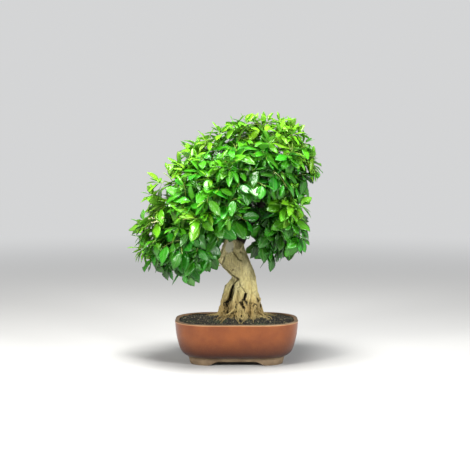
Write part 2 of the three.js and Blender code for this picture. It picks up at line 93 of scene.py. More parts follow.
# Hollows in the front of the wood, then ridges on it, in millimetres: x, z along the line; half width; depth
HOLLOWS = [
    ([(2, 171), (-2, 164), (-5, 156)], 1.8, 3.5),
    ([(-5, 156), (-8, 147), (-9, 138)], 4.2, 10),
    ([(-9, 140), (-11, 131), (-15, 125)], 6.2, 14),
    ([(2, 171), (7, 161), (15, 149), (20, 141)], 1.8, 2.8),
    ([(18, 141), (16, 134), (15, 126)], 3.6, 10),
    ([(10, 122), (11, 119)], 4.4, 11),
    ([(14, 113), (14, 112)], 3.0, 8),
    ([(27, 120), (33, 120)], 4.8, 13),
    ([(26, 114), (32, 115)], 1.6, 5),
    ([(42, 129), (46, 120), (49, 111)], 2.2, 6),
    ([(-23, 118), (-18, 117), (-13, 113)], 5.6, 13),
    ([(-23, 109), (-17, 107)], 3.0, 7),
    ([(-2, 118), (-2, 114)], 4.0, 10),
    ([(-5, 104), (-11, 101)], 3.0, 7),
    ([(21, 104), (22, 103)], 2.8, 6),
    ([(36, 106), (37, 102)], 2.2, 5),
    ([(-8, 190), (-8, 189)], 2.6, 2.8),
    ([(9, 226), (8, 224)], 2.4, 2.4),
    ([(-9, 231), (-8, 225), (-5, 222), (-1, 219), (4, 212), (9, 208)], 2.1, 3),
    ([(-26, 213), (-27, 204), (-30, 199)], 2.0, 2.6),
    ([(-9, 178), (-3, 174), (2, 170)], 2.6, 3.4),
    ([(-11, 181), (-18, 188), (-28, 193)], 2.2, 2.2),
]
RIDGES = [
    ([(-33, 207), (-33, 206)], 7, 3.6), ([(-1, 230), (0, 229)], 7, 3.4), ([(-20, 216), (-10, 212)], 7, 1.8),
    ([(12, 205), (14, 200)], 8, 1.6), ([(-4, 204), (2, 200)], 6, 1.4),
    ([(5, 150), (9, 143), (8, 131), (6, 125)], 4, 2.8),
    ([(28, 146), (25, 132), (19, 118)], 4, 2.2), ([(36, 142), (39, 128), (38, 112)], 4, 2.0),
    ([(-3, 158), (-3, 140), (-7, 122)], 3.4, 2.0), ([(-20, 160), (-24, 140), (-29, 120)], 4.5, 1.6),
]
STUBS = [
    [(8, -16, 228), (13, -22, 243), (18, -25, 252), (23, -28, 263)],
    [(-32, -8, 196), (-41, -11, 199), (-50, -13, 206)],
    [(4, -17, 226), (9, -25, 234), (12, -27, 238)],
]
STUB_THICK, STUB_TAPER = 2.3, 1.2

# Thin strands over the front, as x, z, then their thickness where they start
STRANDS = [
    ([(-28, 97), (-17, 102), (-8, 109), (-3, 113)], 1.5), ([(-13, 95), (-7, 100), (2, 105), (7, 111)], 1.2),
    ([(-6, 88), (0, 94), (5, 98), (10, 105)], 1.1), ([(14, 110), (16, 98), (19, 88)], 1.7),
    ([(44, 105), (48, 100), (54, 93)], 1.3), ([(-28, 114), (-22, 110), (-15, 107), (-8, 108)], 0.9),
    ([(-26, 121), (-21, 112), (-20, 103)], 0.8), ([(-3, 124), (-4, 114), (-8, 104), (-15, 94)], 1.1),
    ([(3, 122), (2, 112), (4, 102), (11, 91)], 1.1), ([(8, 118), (12, 108), (20, 98), (27, 89)], 1.1),
    ([(38, 118), (34, 108), (36, 97), (41, 88)], 1.3), ([(31, 111), (25, 108), (19, 111)], 0.9),
    ([(22, 128), (24, 117), (22, 107)], 1.0), ([(-11, 124), (-7, 118), (-11, 109)], 0.8),
    ([(-30, 104), (-22, 99), (-18, 92)], 0.9), ([(27, 103), (31, 96), (30, 88)], 1.0),
]

# Many more small hollows and thin strands, drawn by chance over this part of the front: sides and heights
TANGLE = (-28, 44, 94, 132)
TANGLE_HOLLOWS = 34
TANGLE_STRANDS = 26

# Leaves, as shares of a leaf's own length and width
BLADE_START = 0.07
TOOTH_FIRST, TOOTH_STEP, TOOTH_COUNT = 0.42, 0.1, 5
RIB_AT = 0.45  # where a leaf has its thickness
LEAF_THICK = 1.2 * MM
GROWN_RATIO = 32 / 54
LEAF_SHARE = 0.93  # of the modelled leaf's length: the rest of it is in the bend
SHELL = 11 * MM  # how far a further leaf may reach beyond the modelled ones
GOLDEN = math.radians(137.5)

# Where leaves are older and darker (above 0) or younger and brighter than their shoot: x and z of the middle,
# radius, shift of age. Partly real growth, partly painted light and shade: brighter young leaves where the
# crown is lit, darker old ones in its shaded middle round the trunk's head.
AGE_AND_SHADE_SHIFTS = [(-40, 345, 70, 0.25), (25, 395, 50, 0.4), (60, 495, 50, -0.6), (-10, 480, 40, -0.25),
              (112, 318, 42, -0.5), (-175, 255, 45, -0.5), (128, 240, 40, -0.3), (118, 455, 40, -0.35),
              (-80, 450, 40, -0.35), (-160, 355, 40, -0.35), (-190, 285, 35, -0.35), (-95, 335, 40, 0.15),
              (-30, 420, 40, 0.2)]

# Flower buds: where each spike starts, where it points, its length in millimetres, how pale it is
SPIKES = [
    ((-17, -104, 402), (-0.2, -0.7, 0.7), 24, 0.2), ((7, -104, 398), (0.4, -0.6, 0.7), 22, 0.2),
    ((-54, -98, 368), (-0.5, -0.6, 0.5), 26, 0.3), ((-46, -98, 372), (0.1, -0.8, 0.5), 22, 0.3),
    ((-99, -84, 360), (-0.4, -0.7, 0.5), 22, 0.3), ((-150, -56, 286), (-0.6, -0.6, 0.4), 26, 1),
    ((-146, -60, 292), (0.0, -0.8, 0.6), 22, 1), ((-160, -50, 294), (-0.8, -0.4, 0.4), 20, 1),
]

# Full tufts that stand out of the crown, in millimetres from the pot's middle: where each tip is, where it
# points, its count of leaves, their length, how young they are
TUFTS = [
    ((-8, -30, 482), (-0.6, -0.3, 0.6), 8, 40, 0.6),
    ((16, -30, 487), (-0.3, -0.3, 0.9), 8, 40, 0.5),
    ((36, -20, 490), (0, -0.3, 1), 8, 34, 0.6),
    ((63, -30, 492), (0.1, -0.3, 0.9), 9, 36, 0.8),
    ((86, -30, 490), (0.2, -0.4, 0.8), 9, 36, 0.8),
    ((109, -25, 480), (0.4, -0.4, 0.8), 9, 38, 0.9),
    ((126, -20, 468), (0.6, -0.3, 0.6), 8, 36, 0.8),
    ((140, -15, 445), (0.8, -0.3, 0.3), 7, 34, 0.5),
    ((85, -60, 468), (0.1, -0.8, 0.5), 9, 40, 0.9),
    ((112, -50, 463), (0.5, -0.7, 0.4), 8, 38, 0.9),
    ((61, -80, 448), (-0.2, -0.9, 0.3), 8, 44, 0.5),
    ((-63, -40, 452), (-0.7, -0.3, 0.5), 9, 40, 0.9),
    ((-36, -40, 469), (-0.4, -0.3, 0.8), 9, 38, 0.7),
    ((-96, -50, 427), (-0.9, -0.2, 0.25), 8, 42, 1),
    ((-117, -50, 403), (-0.8, -0.3, 0.4), 9, 44, 1),
    ((-101, -80, 392), (-0.5, -0.7, 0.3), 9, 44, 1),
    ((-158, -50, 368), (-0.9, -0.2, 0.2), 8, 44, 0.9),
    ((-171, -50, 342), (-0.8, -0.3, 0.3), 8, 40, 0.9),
    ((-188, -40, 279), (-0.8, -0.4, 0.1), 8, 42, 0.5),
    ((-190, -32, 230), (-0.85, -0.3, -0.3), 6, 42, 0.8),
    ((-170, -40, 205), (-0.1, -0.2, -1), 3, 42, 0.1),
    ((-108, -50, 184), (0, -0.2, -1), 3, 42, 0.2),
    ((-138, -40, 207), (0.1, -0.3, -1), 3, 42, 0),
    ((-114, -110, 284), (-0.3, -0.9, 0.2), 8, 46, 0.8),
    ((-85, -120, 333), (-0.3, -0.9, 0.3), 8, 48, 0.7),
    ((-15, -110, 318), (0, -0.95, -0.1), 5, 46, 1),
    ((108, -90, 330), (0.25, -0.85, 0.4), 8, 52, 0.35),
    ((108, -85, 294), (0.1, -0.9, -0.4), 6, 50, 0),
    ((15, -112, 374), (0, -0.9, -0.2), 7, 50, 0.35),
    ((102, -88, 419), (0.1, -0.9, -0.35), 7, 50, 0.1),
    ((-43, -72, 270), (-0.1, -0.8, -0.5), 4, 46, 0.1),
    ((-103, -72, 244), (-0.1, -0.85, -0.4), 7, 50, 0),
    ((-150, -62, 241), (-0.2, -0.8, -0.4), 6, 48, 0.1),
    ((-67, -50, 211), (0, -0.6, -0.8), 5, 46, 0),
    ((126, -70, 258), (0.2, -0.8, -0.5), 6, 50, 0),
    ((66, -60, 241), (0, -0.8, -0.6), 5, 48, 0),
    ((132, -62, 322), (0.9, -0.4, 0.15), 4, 44, 0.5),
    ((-60, 62, 352), (-0.8, 0.6, 0.2), 8, 44, 0.2),
    ((-40, 84, 328), (-0.5, 0.8, 0.1), 8, 44, 0.1),
    ((-92, 50, 330), (-0.9, 0.5, 0.2), 8, 44, 0.3),
    ((-62, 64, 298), (-0.8, 0.6, -0.2), 8, 44, 0),
    ((-34, 60, 384), (-0.6, 0.6, 0.5), 8, 44, 0.3),
    ((-66, 60, 268), (-0.8, 0.4, -0.5), 7, 44, 0),
    ((-84, 46, 290), (-0.9, 0.3, -0.2), 7, 44, 0.1),
    ((-6, -20, 461), (-0.2, -0.7, 0.7), 8, 42, 0.5),
    ((20, -15, 467), (0.1, -0.7, 0.7), 8, 42, 0.6),
    ((2, 30, 458), (-0.1, 0.3, 0.9), 8, 42, 0.4),
    ((28, 30, 466), (0.1, 0.3, 0.9), 8, 42, 0.4),
    ((34, 8, 318), (0.1, -1, -0.2), 6, 40, 0),
    ((38, -28, 312), (0.3, -0.9, -0.3), 5, 36, 0),
    ((32, 62, 316), (0, -0.7, 0.2), 7, 48, 0),
    ((34, 30, 315), (0, -1, 0), 7, 44, 0),
    ((44, 40, 286), (0.1, -1, 0), 7, 44, 0),
    ((21, 35, 336), (-0.1, -1, 0.1), 7, 44, 0),
    ((15, 45, 294), (-0.1, -1, 0.1), 7, 44, 0),
]

# No further leaf hangs before the trunk and the fork above it, which is painted dark with shade: their sides
# and heights, in millimetres
OPEN_VIEWS = [(-31, 24, 150, 262), (-9, 22, 262, 290)]

LEAF_SEED = 20
STRAY_SEED = 4  # of how far the lines on the wood stray

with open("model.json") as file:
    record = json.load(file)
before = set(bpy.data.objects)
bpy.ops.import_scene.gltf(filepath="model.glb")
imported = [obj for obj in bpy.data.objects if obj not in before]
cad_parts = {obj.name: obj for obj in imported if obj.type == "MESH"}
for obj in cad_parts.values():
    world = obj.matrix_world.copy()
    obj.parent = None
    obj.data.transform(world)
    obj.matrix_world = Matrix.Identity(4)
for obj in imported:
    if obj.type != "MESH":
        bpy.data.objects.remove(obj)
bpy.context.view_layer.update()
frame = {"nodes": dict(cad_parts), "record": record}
POT_LOW, POT_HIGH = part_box("pot")
POT_MIDDLE = (POT_LOW + POT_HIGH) / 2
POT_MIDDLE.z = 0
rng = random.Random(LEAF_SEED)
noise.seed_set(STRAY_SEED)


# Camera, light and floor

def make_camera():
    data = bpy.data.cameras.new("camera")
    data.sensor_width = SENSOR
    data.lens = SENSOR * FOCAL_PIXELS / FRAME_PIXELS
    camera = bpy.data.objects.new("camera", data)
    camera.location = (POT_MIDDLE.x + CAMERA_ASIDE, POT_MIDDLE.y - CAMERA_AWAY, CAMERA_HEIGHT)
    camera.rotation_euler = (math.pi / 2 - CAMERA_DOWN, 0, 0)
    bpy.context.scene.collection.objects.link(camera)
    bpy.context.scene.camera = camera


def soft_light(name, place, aim, size, power, tint=(1, 1, 1)):
    data = bpy.data.lights.new(name, "AREA")
    data.shape = "RECTANGLE"
    data.size, data.size_y = size
    data.energy = power
    data.color = tint
    light = bpy.data.objects.new(name, data)
    light.location = place
    light.rotation_euler = (Vector(aim) - Vector(place)).to_track_quat("-Z", "Y").to_euler()
    bpy.context.scene.collection.objects.link(light)


def make_studio():
    scene = bpy.context.scene
    scene.view_settings.view_transform = "Standard"
    world = bpy.data.worlds.new("pale_room")
    world.use_nodes = True
    sky = world.node_tree
    facing = result(put(sky, "ShaderNodeTexCoord"), "Generated")
    up = result(put(sky, "ShaderNodeSeparateXYZ", {0: facing}), "Z")
    tone = blend(sky, step(sky, up, 0.1, 0.6), (*PALE, 1), (0.2, 0.215, 0.24, 1))
    sky.links.new(tone, sky.nodes["Background"].inputs["Color"])
    scene.world = world
    crown = (0, 0, 0.3)
    soft_light("left_window", (-1.25, -1.5, 1.15), crown, (0.45, 0.6), 45, (1, 0.99, 0.96))
    soft_light("right_window", (1.3, -1.45, 1.0), crown, (0.4, 0.55), 43, (0.98, 0.99, 1))
    soft_light("sky", (-0.1, -0.4, 2.1), crown, (0.8, 0.7), 95, (0.99, 0.99, 0.98))
    bpy.ops.mesh.primitive_plane_add(size=14)
    floor = bpy.context.object
    floor.name = "floor"
    material = bpy.data.materials.new("pale_floor")
    material.use_nodes = True
    tree = material.node_tree
    paint = tree.nodes["Principled BSDF"]
    paint.inputs["Base Color"].default_value = (0.38, 0.375, 0.365, 1)
    paint.inputs["Roughness"].default_value = 0.8
    away = vector(tree, "LENGTH", own_place(tree))
    far = put(tree, "ShaderNodeEmission", {"Color": (*PALE, 1)})
    mixed = put(tree, "ShaderNodeMixShader", {
        0: step(tree, away, 0.6, 3.2), 1: paint.outputs[0], 2: far.outputs[0]})
    tree.links.new(mixed.outputs[0], tree.nodes["Material Output"].inputs["Surface"])
    floor.data.materials.append(material)


# Short ways to build node trees and meshes

def put(tree, kind, values=(), **settings):
    """Adds a node. values gives inputs by name or number: a socket is linked, anything else is set."""
    made = tree.nodes.new(kind)
    for name, value in settings.items():
        setattr(made, name, value)
    for name, value in dict(values).items():
        if isinstance(name, int):
            socket = made.inputs[name]
        else:
            socket = next(s for s in made.inputs if s.name == name and s.enabled)
        if isinstance(value, bpy.types.NodeSocket):
            tree.links.new(value, socket)
        else:
            socket.default_value = value
    return made


def result(made, name=None):
    return next(s for s in made.outputs if s.enabled and name in (None, s.name))


def calc(tree, operation, *values):
    return result(put(tree, "ShaderNodeMath", dict(enumerate(values)), operation=operation))


def times(tree, first, second):
    return calc(tree, "MULTIPLY", first, second)


def plus(tree, first, second):
    return calc(tree, "ADD", first, second)


def minus(tree, first, second):
    return calc(tree, "SUBTRACT", first, second)


def vector(tree, operation, *values):
    return result(put(tree, "ShaderNodeVectorMath", dict(enumerate(values)), operation=operation))


def scaled(tree, value, factor):
    return result(put(tree, "ShaderNodeVectorMath", {"Vector": value, "Scale": factor}, operation="SCALE"))


def step(tree, value, low, high, smooth=True):
    """0 below low, 1 above high, and smooth between."""
    kind = "SMOOTHSTEP" if smooth else "LINEAR"
    made = put(tree, "ShaderNodeMapRange", {"Value": value, "From Min": low, "From Max": high},
               interpolation_type=kind)
    return result(made)


def blend(tree, factor, first, second, mode="MIX"):
    """Mixes two colours."""
    made = put(tree, "ShaderNodeMix", {"Factor": factor, "A": first, "B": second},
               data_type="RGBA", blend_type=mode, clamp_factor=True)
    return result(made, "Result")


def rgb(hexadecimal, alpha=1):
    """The linear colour of a web colour."""
    parts = [(hexadecimal >> shift & 255) / 255 for shift in (16, 8, 0)]
    linear = [p / 12.92 if p <= 0.04045 else ((p + 0.055) / 1.055) ** 2.4 for p in parts]
    return (*linear, alpha)


def mask(tree, name):
    """A named attribute, in a material."""
    return result(put(tree, "ShaderNodeAttribute", attribute_name=name), "Fac")


def own_place(tree):
    """Where a spot lies on its object, in a material."""
    return result(put(tree, "ShaderNodeTexCoord"), "Object")


def height_of(tree):
    return result(put(tree, "ShaderNodeSeparateXYZ", {0: own_place(tree)}), "Z")


def value_of(tree, name, kind="FLOAT"):
    """A named attribute, in a geometry tree."""
    return result(put(tree, "GeometryNodeInputNamedAttribute", {"Name": name}, data_type=kind))


def geometry_tree(name, sockets):
    """A geometry tree with its group input and output. sockets maps each input's name to (type, value)."""
    tree = bpy.data.node_groups.new(name, "GeometryNodeTree")
    tree.interface.new_socket("Geometry", in_out="INPUT", socket_type="NodeSocketGeometry")
    tree.interface.new_socket("Geometry", in_out="OUTPUT", socket_type="NodeSocketGeometry")
    for label, (kind, value) in sockets.items():
        socket = tree.interface.new_socket(label, in_out="INPUT", socket_type="NodeSocket" + kind)
        if value is not None:
            socket.default_value = value
    return tree, tree.nodes.new("NodeGroupInput"), tree.nodes.new("NodeGroupOutput")


def end_tree(tree, put_out, geometry, material):
    """Ends a tree with plain geometry in its finish."""
    solid = put(tree, "GeometryNodeRealizeInstances", {"Geometry": geometry})
    painted = put(tree, "GeometryNodeSetMaterial", {"Geometry": result(solid), "Material": material})
    tree.links.new(result(painted), put_out.inputs[0])


def grown(mesh, name, tree, values):
    """The plain mesh that a geometry tree makes of a mesh."""
    holder = bpy.data.objects.new(name, mesh)
    bpy.context.scene.collection.objects.link(holder)
    modifier = holder.modifiers.new(name, "NODES")
    modifier.node_group = tree
    for socket in tree.interface.items_tree:
        if socket.in_out == "INPUT" and socket.name in values:
            modifier[socket.identifier] = values[socket.name]
    made = evaluated(holder)
    bpy.data.objects.remove(holder)
    made.name = name
    return made


def evaluated(holder):
    return bpy.data.meshes.new_from_object(holder.evaluated_get(bpy.context.evaluated_depsgraph_get()))


def new_mesh(name, corners, faces, edges=()):
    mesh = bpy.data.meshes.new(name)
    mesh.from_pydata([tuple(c) for c in corners], list(edges), [tuple(f) for f in faces])
    mesh.update()
    return mesh


def places(mesh):
    """The mesh's corners as an array."""
    co = np.empty(len(mesh.vertices) * 3, np.float32)
    mesh.vertices.foreach_get("co", co)
    return co.reshape(-1, 3).astype(float)


def move_to(mesh, co):
    mesh.vertices.foreach_set("co", co.astype(np.float32).ravel())
    mesh.update()


def give(mesh, name, values, domain="POINT", kind="FLOAT"):
    """Stores one value for each corner or face."""
    attribute = mesh.attributes.new(name, kind, domain)
    field = "vector" if kind == "FLOAT_VECTOR" else "value"
    attribute.data.foreach_set(field, np.asarray(values, np.float32).ravel())


def piece(name, mesh, materials, slot, *nodes):
    """A finished piece that rides on the part and stands for the nodes."""
    made = bpy.data.objects.new(name, mesh)
    bpy.context.scene.collection.objects.link(made)
    if materials:
        mesh.materials.clear()
        for material in materials:
            mesh.materials.append(material)
    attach(made, "root")
    if nodes:
        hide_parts(*nodes)
    return made


def merged_copy(node):
    """A CAD node's mesh with its loose triangles joined, as a bmesh."""
    made = bmesh.new()
    made.from_mesh(frame["nodes"][node].data)
    bmesh.ops.remove_doubles(made, verts=made.verts, dist=1e-6)
    made.verts.ensure_lookup_table()
    return made


def smooth_by(mesh, degrees):
    mesh.shade_smooth()
    mesh.set_sharp_from_angle(angle=math.radians(degrees))


# Shader effects that several finishes share

def shader_group(name, inputs, outputs):
    tree = bpy.data.node_groups.new(name, "ShaderNodeTree")
    for label, kind, value in inputs:
        socket = tree.interface.new_socket(label, in_out="INPUT", socket_type="NodeSocket" + kind)
        socket.default_value = value
    for label, kind in outputs:
        tree.interface.new_socket(label, in_out="OUTPUT", socket_type="NodeSocket" + kind)
    return tree, tree.nodes.new("NodeGroupInput"), tree.nodes.new("NodeGroupOutput")


def use_group(tree, group, values=()):
    return put(tree, "ShaderNodeGroup", values, node_tree=group)


def speckle_group():
    """Mottling and fine grain, for clay, soil and bark."""
    tree, given, put_out = shader_group(
        "mottle_and_grain",
        [("Mottle Scale", "Float", 30.0), ("Grain Scale", "Float", 600.0), ("Stretch", "Vector", (1, 1, 1))],
        [("Mottle", "Float"), ("Grain", "Float"), ("Specks", "Float")])
    place = own_place(tree)
    place = vector(tree, "MULTIPLY", place, given.outputs["Stretch"])
    mottle = put(tree, "ShaderNodeTexNoise", {"Vector": place, "Scale": given.outputs["Mottle Scale"],
                                              "Detail": 4.0, "Roughness": 0.6})
    grain = put(tree, "ShaderNodeTexNoise", {"Vector": place, "Scale": given.outputs["Grain Scale"],
                                             "Detail": 3.0, "Roughness": 0.7})
    cells = put(tree, "ShaderNodeTexVoronoi", {"Vector": place, "Scale": given.outputs["Grain Scale"]})
    specks = step(tree, result(cells, "Distance"), 0.3, 0.12)
    tree.links.new(result(mottle), put_out.inputs["Mottle"])
    tree.links.new(result(grain), put_out.inputs["Grain"])
    tree.links.new(specks, put_out.inputs["Specks"])
    return tree


def leaf_group():
    """Leaf tissue from the blade's own map: colour by age, veins, a paler underside."""
    tree, given, put_out = shader_group(
        "leaf_tissue",
        [("Young", "Color", rgb(0x9BD42B)), ("Grown", "Color", rgb(0x3F9A1E)),
         ("Old", "Color", rgb(0x1B5E1A))],
        [("Color", "Color"), ("Glow", "Color"), ("Roughness", "Float"), ("Height", "Float")])
    age = mask(tree, "age")
    tone = mask(tree, "tone")
    under = mask(tree, "under")
    on_blade = put(tree, "ShaderNodeSeparateXYZ", {0: result(put(tree, "ShaderNodeUVMap", uv_map="blade"))})
    across = times(tree, calc(tree, "ABSOLUTE", minus(tree, on_blade.outputs[0], 0.5)), 2.0)
    along = on_blade.outputs[1]
    bowed = times(tree, calc(tree, "POWER", across, 0.8), 0.3)
    phase = calc(tree, "FRACT", times(tree, minus(tree, along, bowed), 7.0))
    from_vein = calc(tree, "ABSOLUTE", minus(tree, phase, 0.5))
    side_vein = times(tree, step(tree, from_vein, 0.36, 0.5), step(tree, across, 1.05, 0.7))
    rib = step(tree, across, 0.13, 0.03)
    veins = calc(tree, "MAXIMUM", rib, times(tree, side_vein, 0.6))
    patches = result(put(tree, "ShaderNodeTexNoise", {
        "Vector": own_place(tree), "Scale": 90.0, "Detail": 3.0}))
    late = step(tree, age, 0.5, 1.0, smooth=False)
    early = step(tree, age, 0.0, 0.5, smooth=False)
    colour = blend(tree, early, given.outputs["Young"], given.outputs["Grown"])
    colour = blend(tree, late, colour, given.outputs["Old"])
    spread = plus(tree, times(tree, tone, 0.35), times(tree, patches, 0.35))
    level = plus(tree, spread, 0.62)
    colour = result(put(tree, "ShaderNodeHueSaturation", {
        "Hue": plus(tree, times(tree, tone, 0.022), 0.486), "Value": level, "Color": colour}))
    pale = blend(tree, 0.5, colour, rgb(0xB7D98A))
    colour = blend(tree, times(tree, veins, 0.2), colour, pale)
    colour = blend(tree, times(tree, under, 0.6), colour, blend(tree, 0.16, colour, rgb(0xA9C49A)))
    tree.links.new(colour, put_out.inputs["Color"])
    glow = result(put(tree, "ShaderNodeHueSaturation", {
        "Hue": 0.485, "Saturation": 1.1, "Value": 1.35, "Color": colour}))
    tree.links.new(glow, put_out.inputs["Glow"])
    rough = plus(tree, times(tree, patches, 0.2), 0.2)
    rough = plus(tree, rough, times(tree, under, 0.25))
    tree.links.new(rough, put_out.inputs["Roughness"])
    quilt = times(tree, minus(tree, 0.5, from_vein), 0.8)
    height = minus(tree, quilt, veins)
    tree.links.new(height, put_out.inputs["Height"])
    return tree


# Finishes

def finish(name):
    material = bpy.data.materials.new(name)
    material.use_nodes = True
    tree = material.node_tree
    return material, tree, tree.nodes["Principled BSDF"], tree.nodes["Material Output"]


def set_relief(tree, shader, height, strength, depth):
    bump = put(tree, "ShaderNodeBump", {"Strength": strength, "Distance": depth, "Height": height})
    tree.links.new(result(bump), shader.inputs["Normal"])


def leaf_finish(name, group, colours):
    material, tree, shader, output = finish(name)
    tissue = use_group(tree, group, colours)
    tree.links.new(tissue.outputs["Color"], shader.inputs["Base Color"])
    tree.links.new(tissue.outputs["Roughness"], shader.inputs["Roughness"])
    shader.inputs["Specular IOR Level"].default_value = 0.5
    shader.inputs["Coat Weight"].default_value = 0.2
    shader.inputs["Coat Roughness"].default_value = 0.2
    set_relief(tree, shader, tissue.outputs["Height"], 0.35, 0.5 * MM)
    glow = put(tree, "ShaderNodeBsdfTranslucent", {"Color": tissue.outputs["Glow"]})
    mixed = put(tree, "ShaderNodeMixShader", {0: 0.22, 1: shader.outputs[0], 2: glow.outputs[0]})
    tree.links.new(mixed.outputs[0], output.inputs["Surface"])
    return material


def stem_finish(speckle):
    """Green stems that turn brown where they are old."""
    material, tree, shader, _ = finish("green_stem")
    grain = use_group(tree, speckle, {"Mottle Scale": 120.0, "Grain Scale": 900.0})
    age = mask(tree, "age")
    colour = blend(tree, step(tree, age, 0.2, 0.9), rgb(0x86A83A), rgb(0x5C6A2A))
    colour = blend(tree, step(tree, grain.outputs["Mottle"], 0.45, 0.8), colour, rgb(0x6B5A34))
    tree.links.new(colour, shader.inputs["Base Color"])
    shader.inputs["Roughness"].default_value = 0.5
    set_relief(tree, shader, grain.outputs["Grain"], 0.4, 0.2 * MM)
    return material


def bark_finish(speckle):
    """Pale furrowed bark, painted dark brown with shade in the crown and the fork, near-black with painted
    shade in its cracks and hollows, grey and smooth on the pruning scar.
    """
    material, tree, shader, _ = finish("furrowed_bark")
    fine = use_group(tree, speckle, {"Mottle Scale": 70.0, "Grain Scale": 420.0, "Stretch": (1, 1, 0.35)})
    broad = use_group(tree, speckle, {"Mottle Scale": 22.0, "Grain Scale": 150.0, "Stretch": (1, 1, 0.5)})
    deep = mask(tree, "deep")
    shade = mask(tree, "shade")
    scar = mask(tree, "scar")
    colour = blend(tree, step(tree, broad.outputs["Mottle"], 0.35, 0.65), rgb(0xAC9F67), rgb(0xC0B583))
    brown = times(tree, step(tree, fine.outputs["Mottle"], 0.52, 0.74), 0.6)
    colour = blend(tree, brown, colour, rgb(0x86733C))
    bleached = times(tree, step(tree, fine.outputs["Mottle"], 0.46, 0.3), 0.6)
    colour = blend(tree, bleached, colour, rgb(0xD2C896))
    green = times(tree, step(tree, broad.outputs["Grain"], 0.52, 0.76), 0.5)
    colour = blend(tree, green, colour, rgb(0x8E8B60))
    low = height_of(tree)
    colour = blend(tree, times(tree, step(tree, low, 135 * MM, 100 * MM), 0.7), colour, rgb(0x84703A))
    stain = times(tree, step(tree, broad.outputs["Mottle"], 0.56, 0.4), step(tree, low, 150 * MM, 120 * MM))
    colour = blend(tree, times(tree, stain, 0.5), colour, rgb(0x85693A))
    colour = blend(tree, times(tree, step(tree, low, 99 * MM, 87 * MM), 0.55), colour, rgb(0x4E4026))
    # Painted shade in the cracks, low spots and hollows
    colour = blend(tree, times(tree, deep, 0.95), colour, rgb(0x22170A))
    colour = blend(tree, times(tree, scar, 0.9), colour, rgb(0xACA994))
    # Painted shade over the crown's wood and the fork
    colour = blend(tree, shade, colour, rgb(0x241A12))
    tree.links.new(colour, shader.inputs["Base Color"])
    tree.links.new(minus(tree, 0.82, times(tree, scar, 0.25)), shader.inputs["Roughness"])
    relief = plus(tree, fine.outputs["Mottle"], times(tree, fine.outputs["Grain"], 0.5))
    relief = times(tree, relief, minus(tree, 1.0, times(tree, scar, 0.8)))
    set_relief(tree, shader, relief, 0.8, 1.6 * MM)
    return material


def glaze_finish(speckle):
    """Satin orange-brown glaze over grey-brown clay, which is bare at the feet and the rim's edge."""
    material, tree, shader, _ = finish("glazed_clay")
    marks = use_group(tree, speckle, {"Mottle Scale": 26.0, "Grain Scale": 480.0})
    glaze = mask(tree, "glaze")
    low = height_of(tree)
    colour = blend(tree, step(tree, marks.outputs["Mottle"], 0.3, 0.7), rgb(0x6C3410), rgb(0x7C4014))
    # Painted shade: the glaze darkens towards the bottom of the body, where it turns under
    colour = blend(tree, step(tree, low, 64 * MM, 15 * MM), colour, rgb(0x3C190B))
    grains = times(tree, step(tree, marks.outputs["Grain"], 0.55, 0.75), 0.3)
    colour = blend(tree, grains, colour, rgb(0x8E5826))
    colour = blend(tree, times(tree, marks.outputs["Specks"], 0.2), colour, rgb(0x41200F))
    colour = blend(tree, times(tree, step(tree, low, 83.4 * MM, 85.2 * MM), 0.75), colour, rgb(0xBE8A5C))
    clay = blend(tree, step(tree, marks.outputs["Mottle"], 0.35, 0.65), rgb(0x64523E), rgb(0x7D6A52))
    colour = blend(tree, glaze, clay, colour)
    tree.links.new(colour, shader.inputs["Base Color"])
    rough = minus(tree, 0.78, times(tree, glaze, 0.46))
    rough = plus(tree, rough, times(tree, marks.outputs["Mottle"], 0.1))
    tree.links.new(rough, shader.inputs["Roughness"])
    tree.links.new(times(tree, glaze, 0.3), shader.inputs["Coat Weight"])
    shader.inputs["Coat Roughness"].default_value = 0.22
    shader.inputs["Specular IOR Level"].default_value = 0.3
    set_relief(tree, shader, plus(tree, marks.outputs["Grain"], marks.outputs["Mottle"]), 0.35, 0.6 * MM)
    return material


def soil_finish(speckle):
    """Dark granules, some of them grey or brown and a few pale, with a green film in places."""
    material, tree, shader, _ = finish("dark_granules")
    marks = use_group(tree, speckle, {"Mottle Scale": 160.0, "Grain Scale": 1100.0})
    broad = use_group(tree, speckle, {"Mottle Scale": 24.0, "Grain Scale": 300.0})
    tone = mask(tree, "tone")
    colour = blend(tree, step(tree, tone, 0.4, 0.95), rgb(0x0B0804), rgb(0x46402A))
    colour = blend(tree, step(tree, tone, 0.93, 0.96), colour, rgb(0x786F54))
    colour = blend(tree, step(tree, marks.outputs["Mottle"], 0.55, 0.8), colour, rgb(0x2C2417))
    film = times(tree, step(tree, broad.outputs["Mottle"], 0.5, 0.7), 0.6)
    colour = blend(tree, film, colour, rgb(0x2C3C22))
    tree.links.new(colour, shader.inputs["Base Color"])
    shader.inputs["Roughness"].default_value = 0.75
    set_relief(tree, shader, marks.outputs["Grain"], 0.6, 0.5 * MM)
    return material


def bud_finish(name, speckle, tint):
    material, tree, shader, _ = finish(name)
    marks = use_group(tree, speckle, {"Mottle Scale": 400.0, "Grain Scale": 1500.0})
    colour = blend(tree, times(tree, marks.outputs["Mottle"], 0.5), rgb(tint), rgb(0x8DA043))
    tree.links.new(colour, shader.inputs["Base Color"])
    shader.inputs["Roughness"].default_value = 0.5
    return material


def net_finish(speckle):
    material, tree, shader, _ = finish("black_net")
    marks = use_group(tree, speckle, {"Mottle Scale": 90.0, "Grain Scale": 900.0})
    colour = blend(tree, marks.outputs["Mottle"], rgb(0x161716), rgb(0x262826))
    tree.links.new(colour, shader.inputs["Base Color"])
    shader.inputs["Roughness"].default_value = 0.55
    set_relief(tree, shader, marks.outputs["Grain"], 0.3, 0.1 * MM)
    return material


# Pot

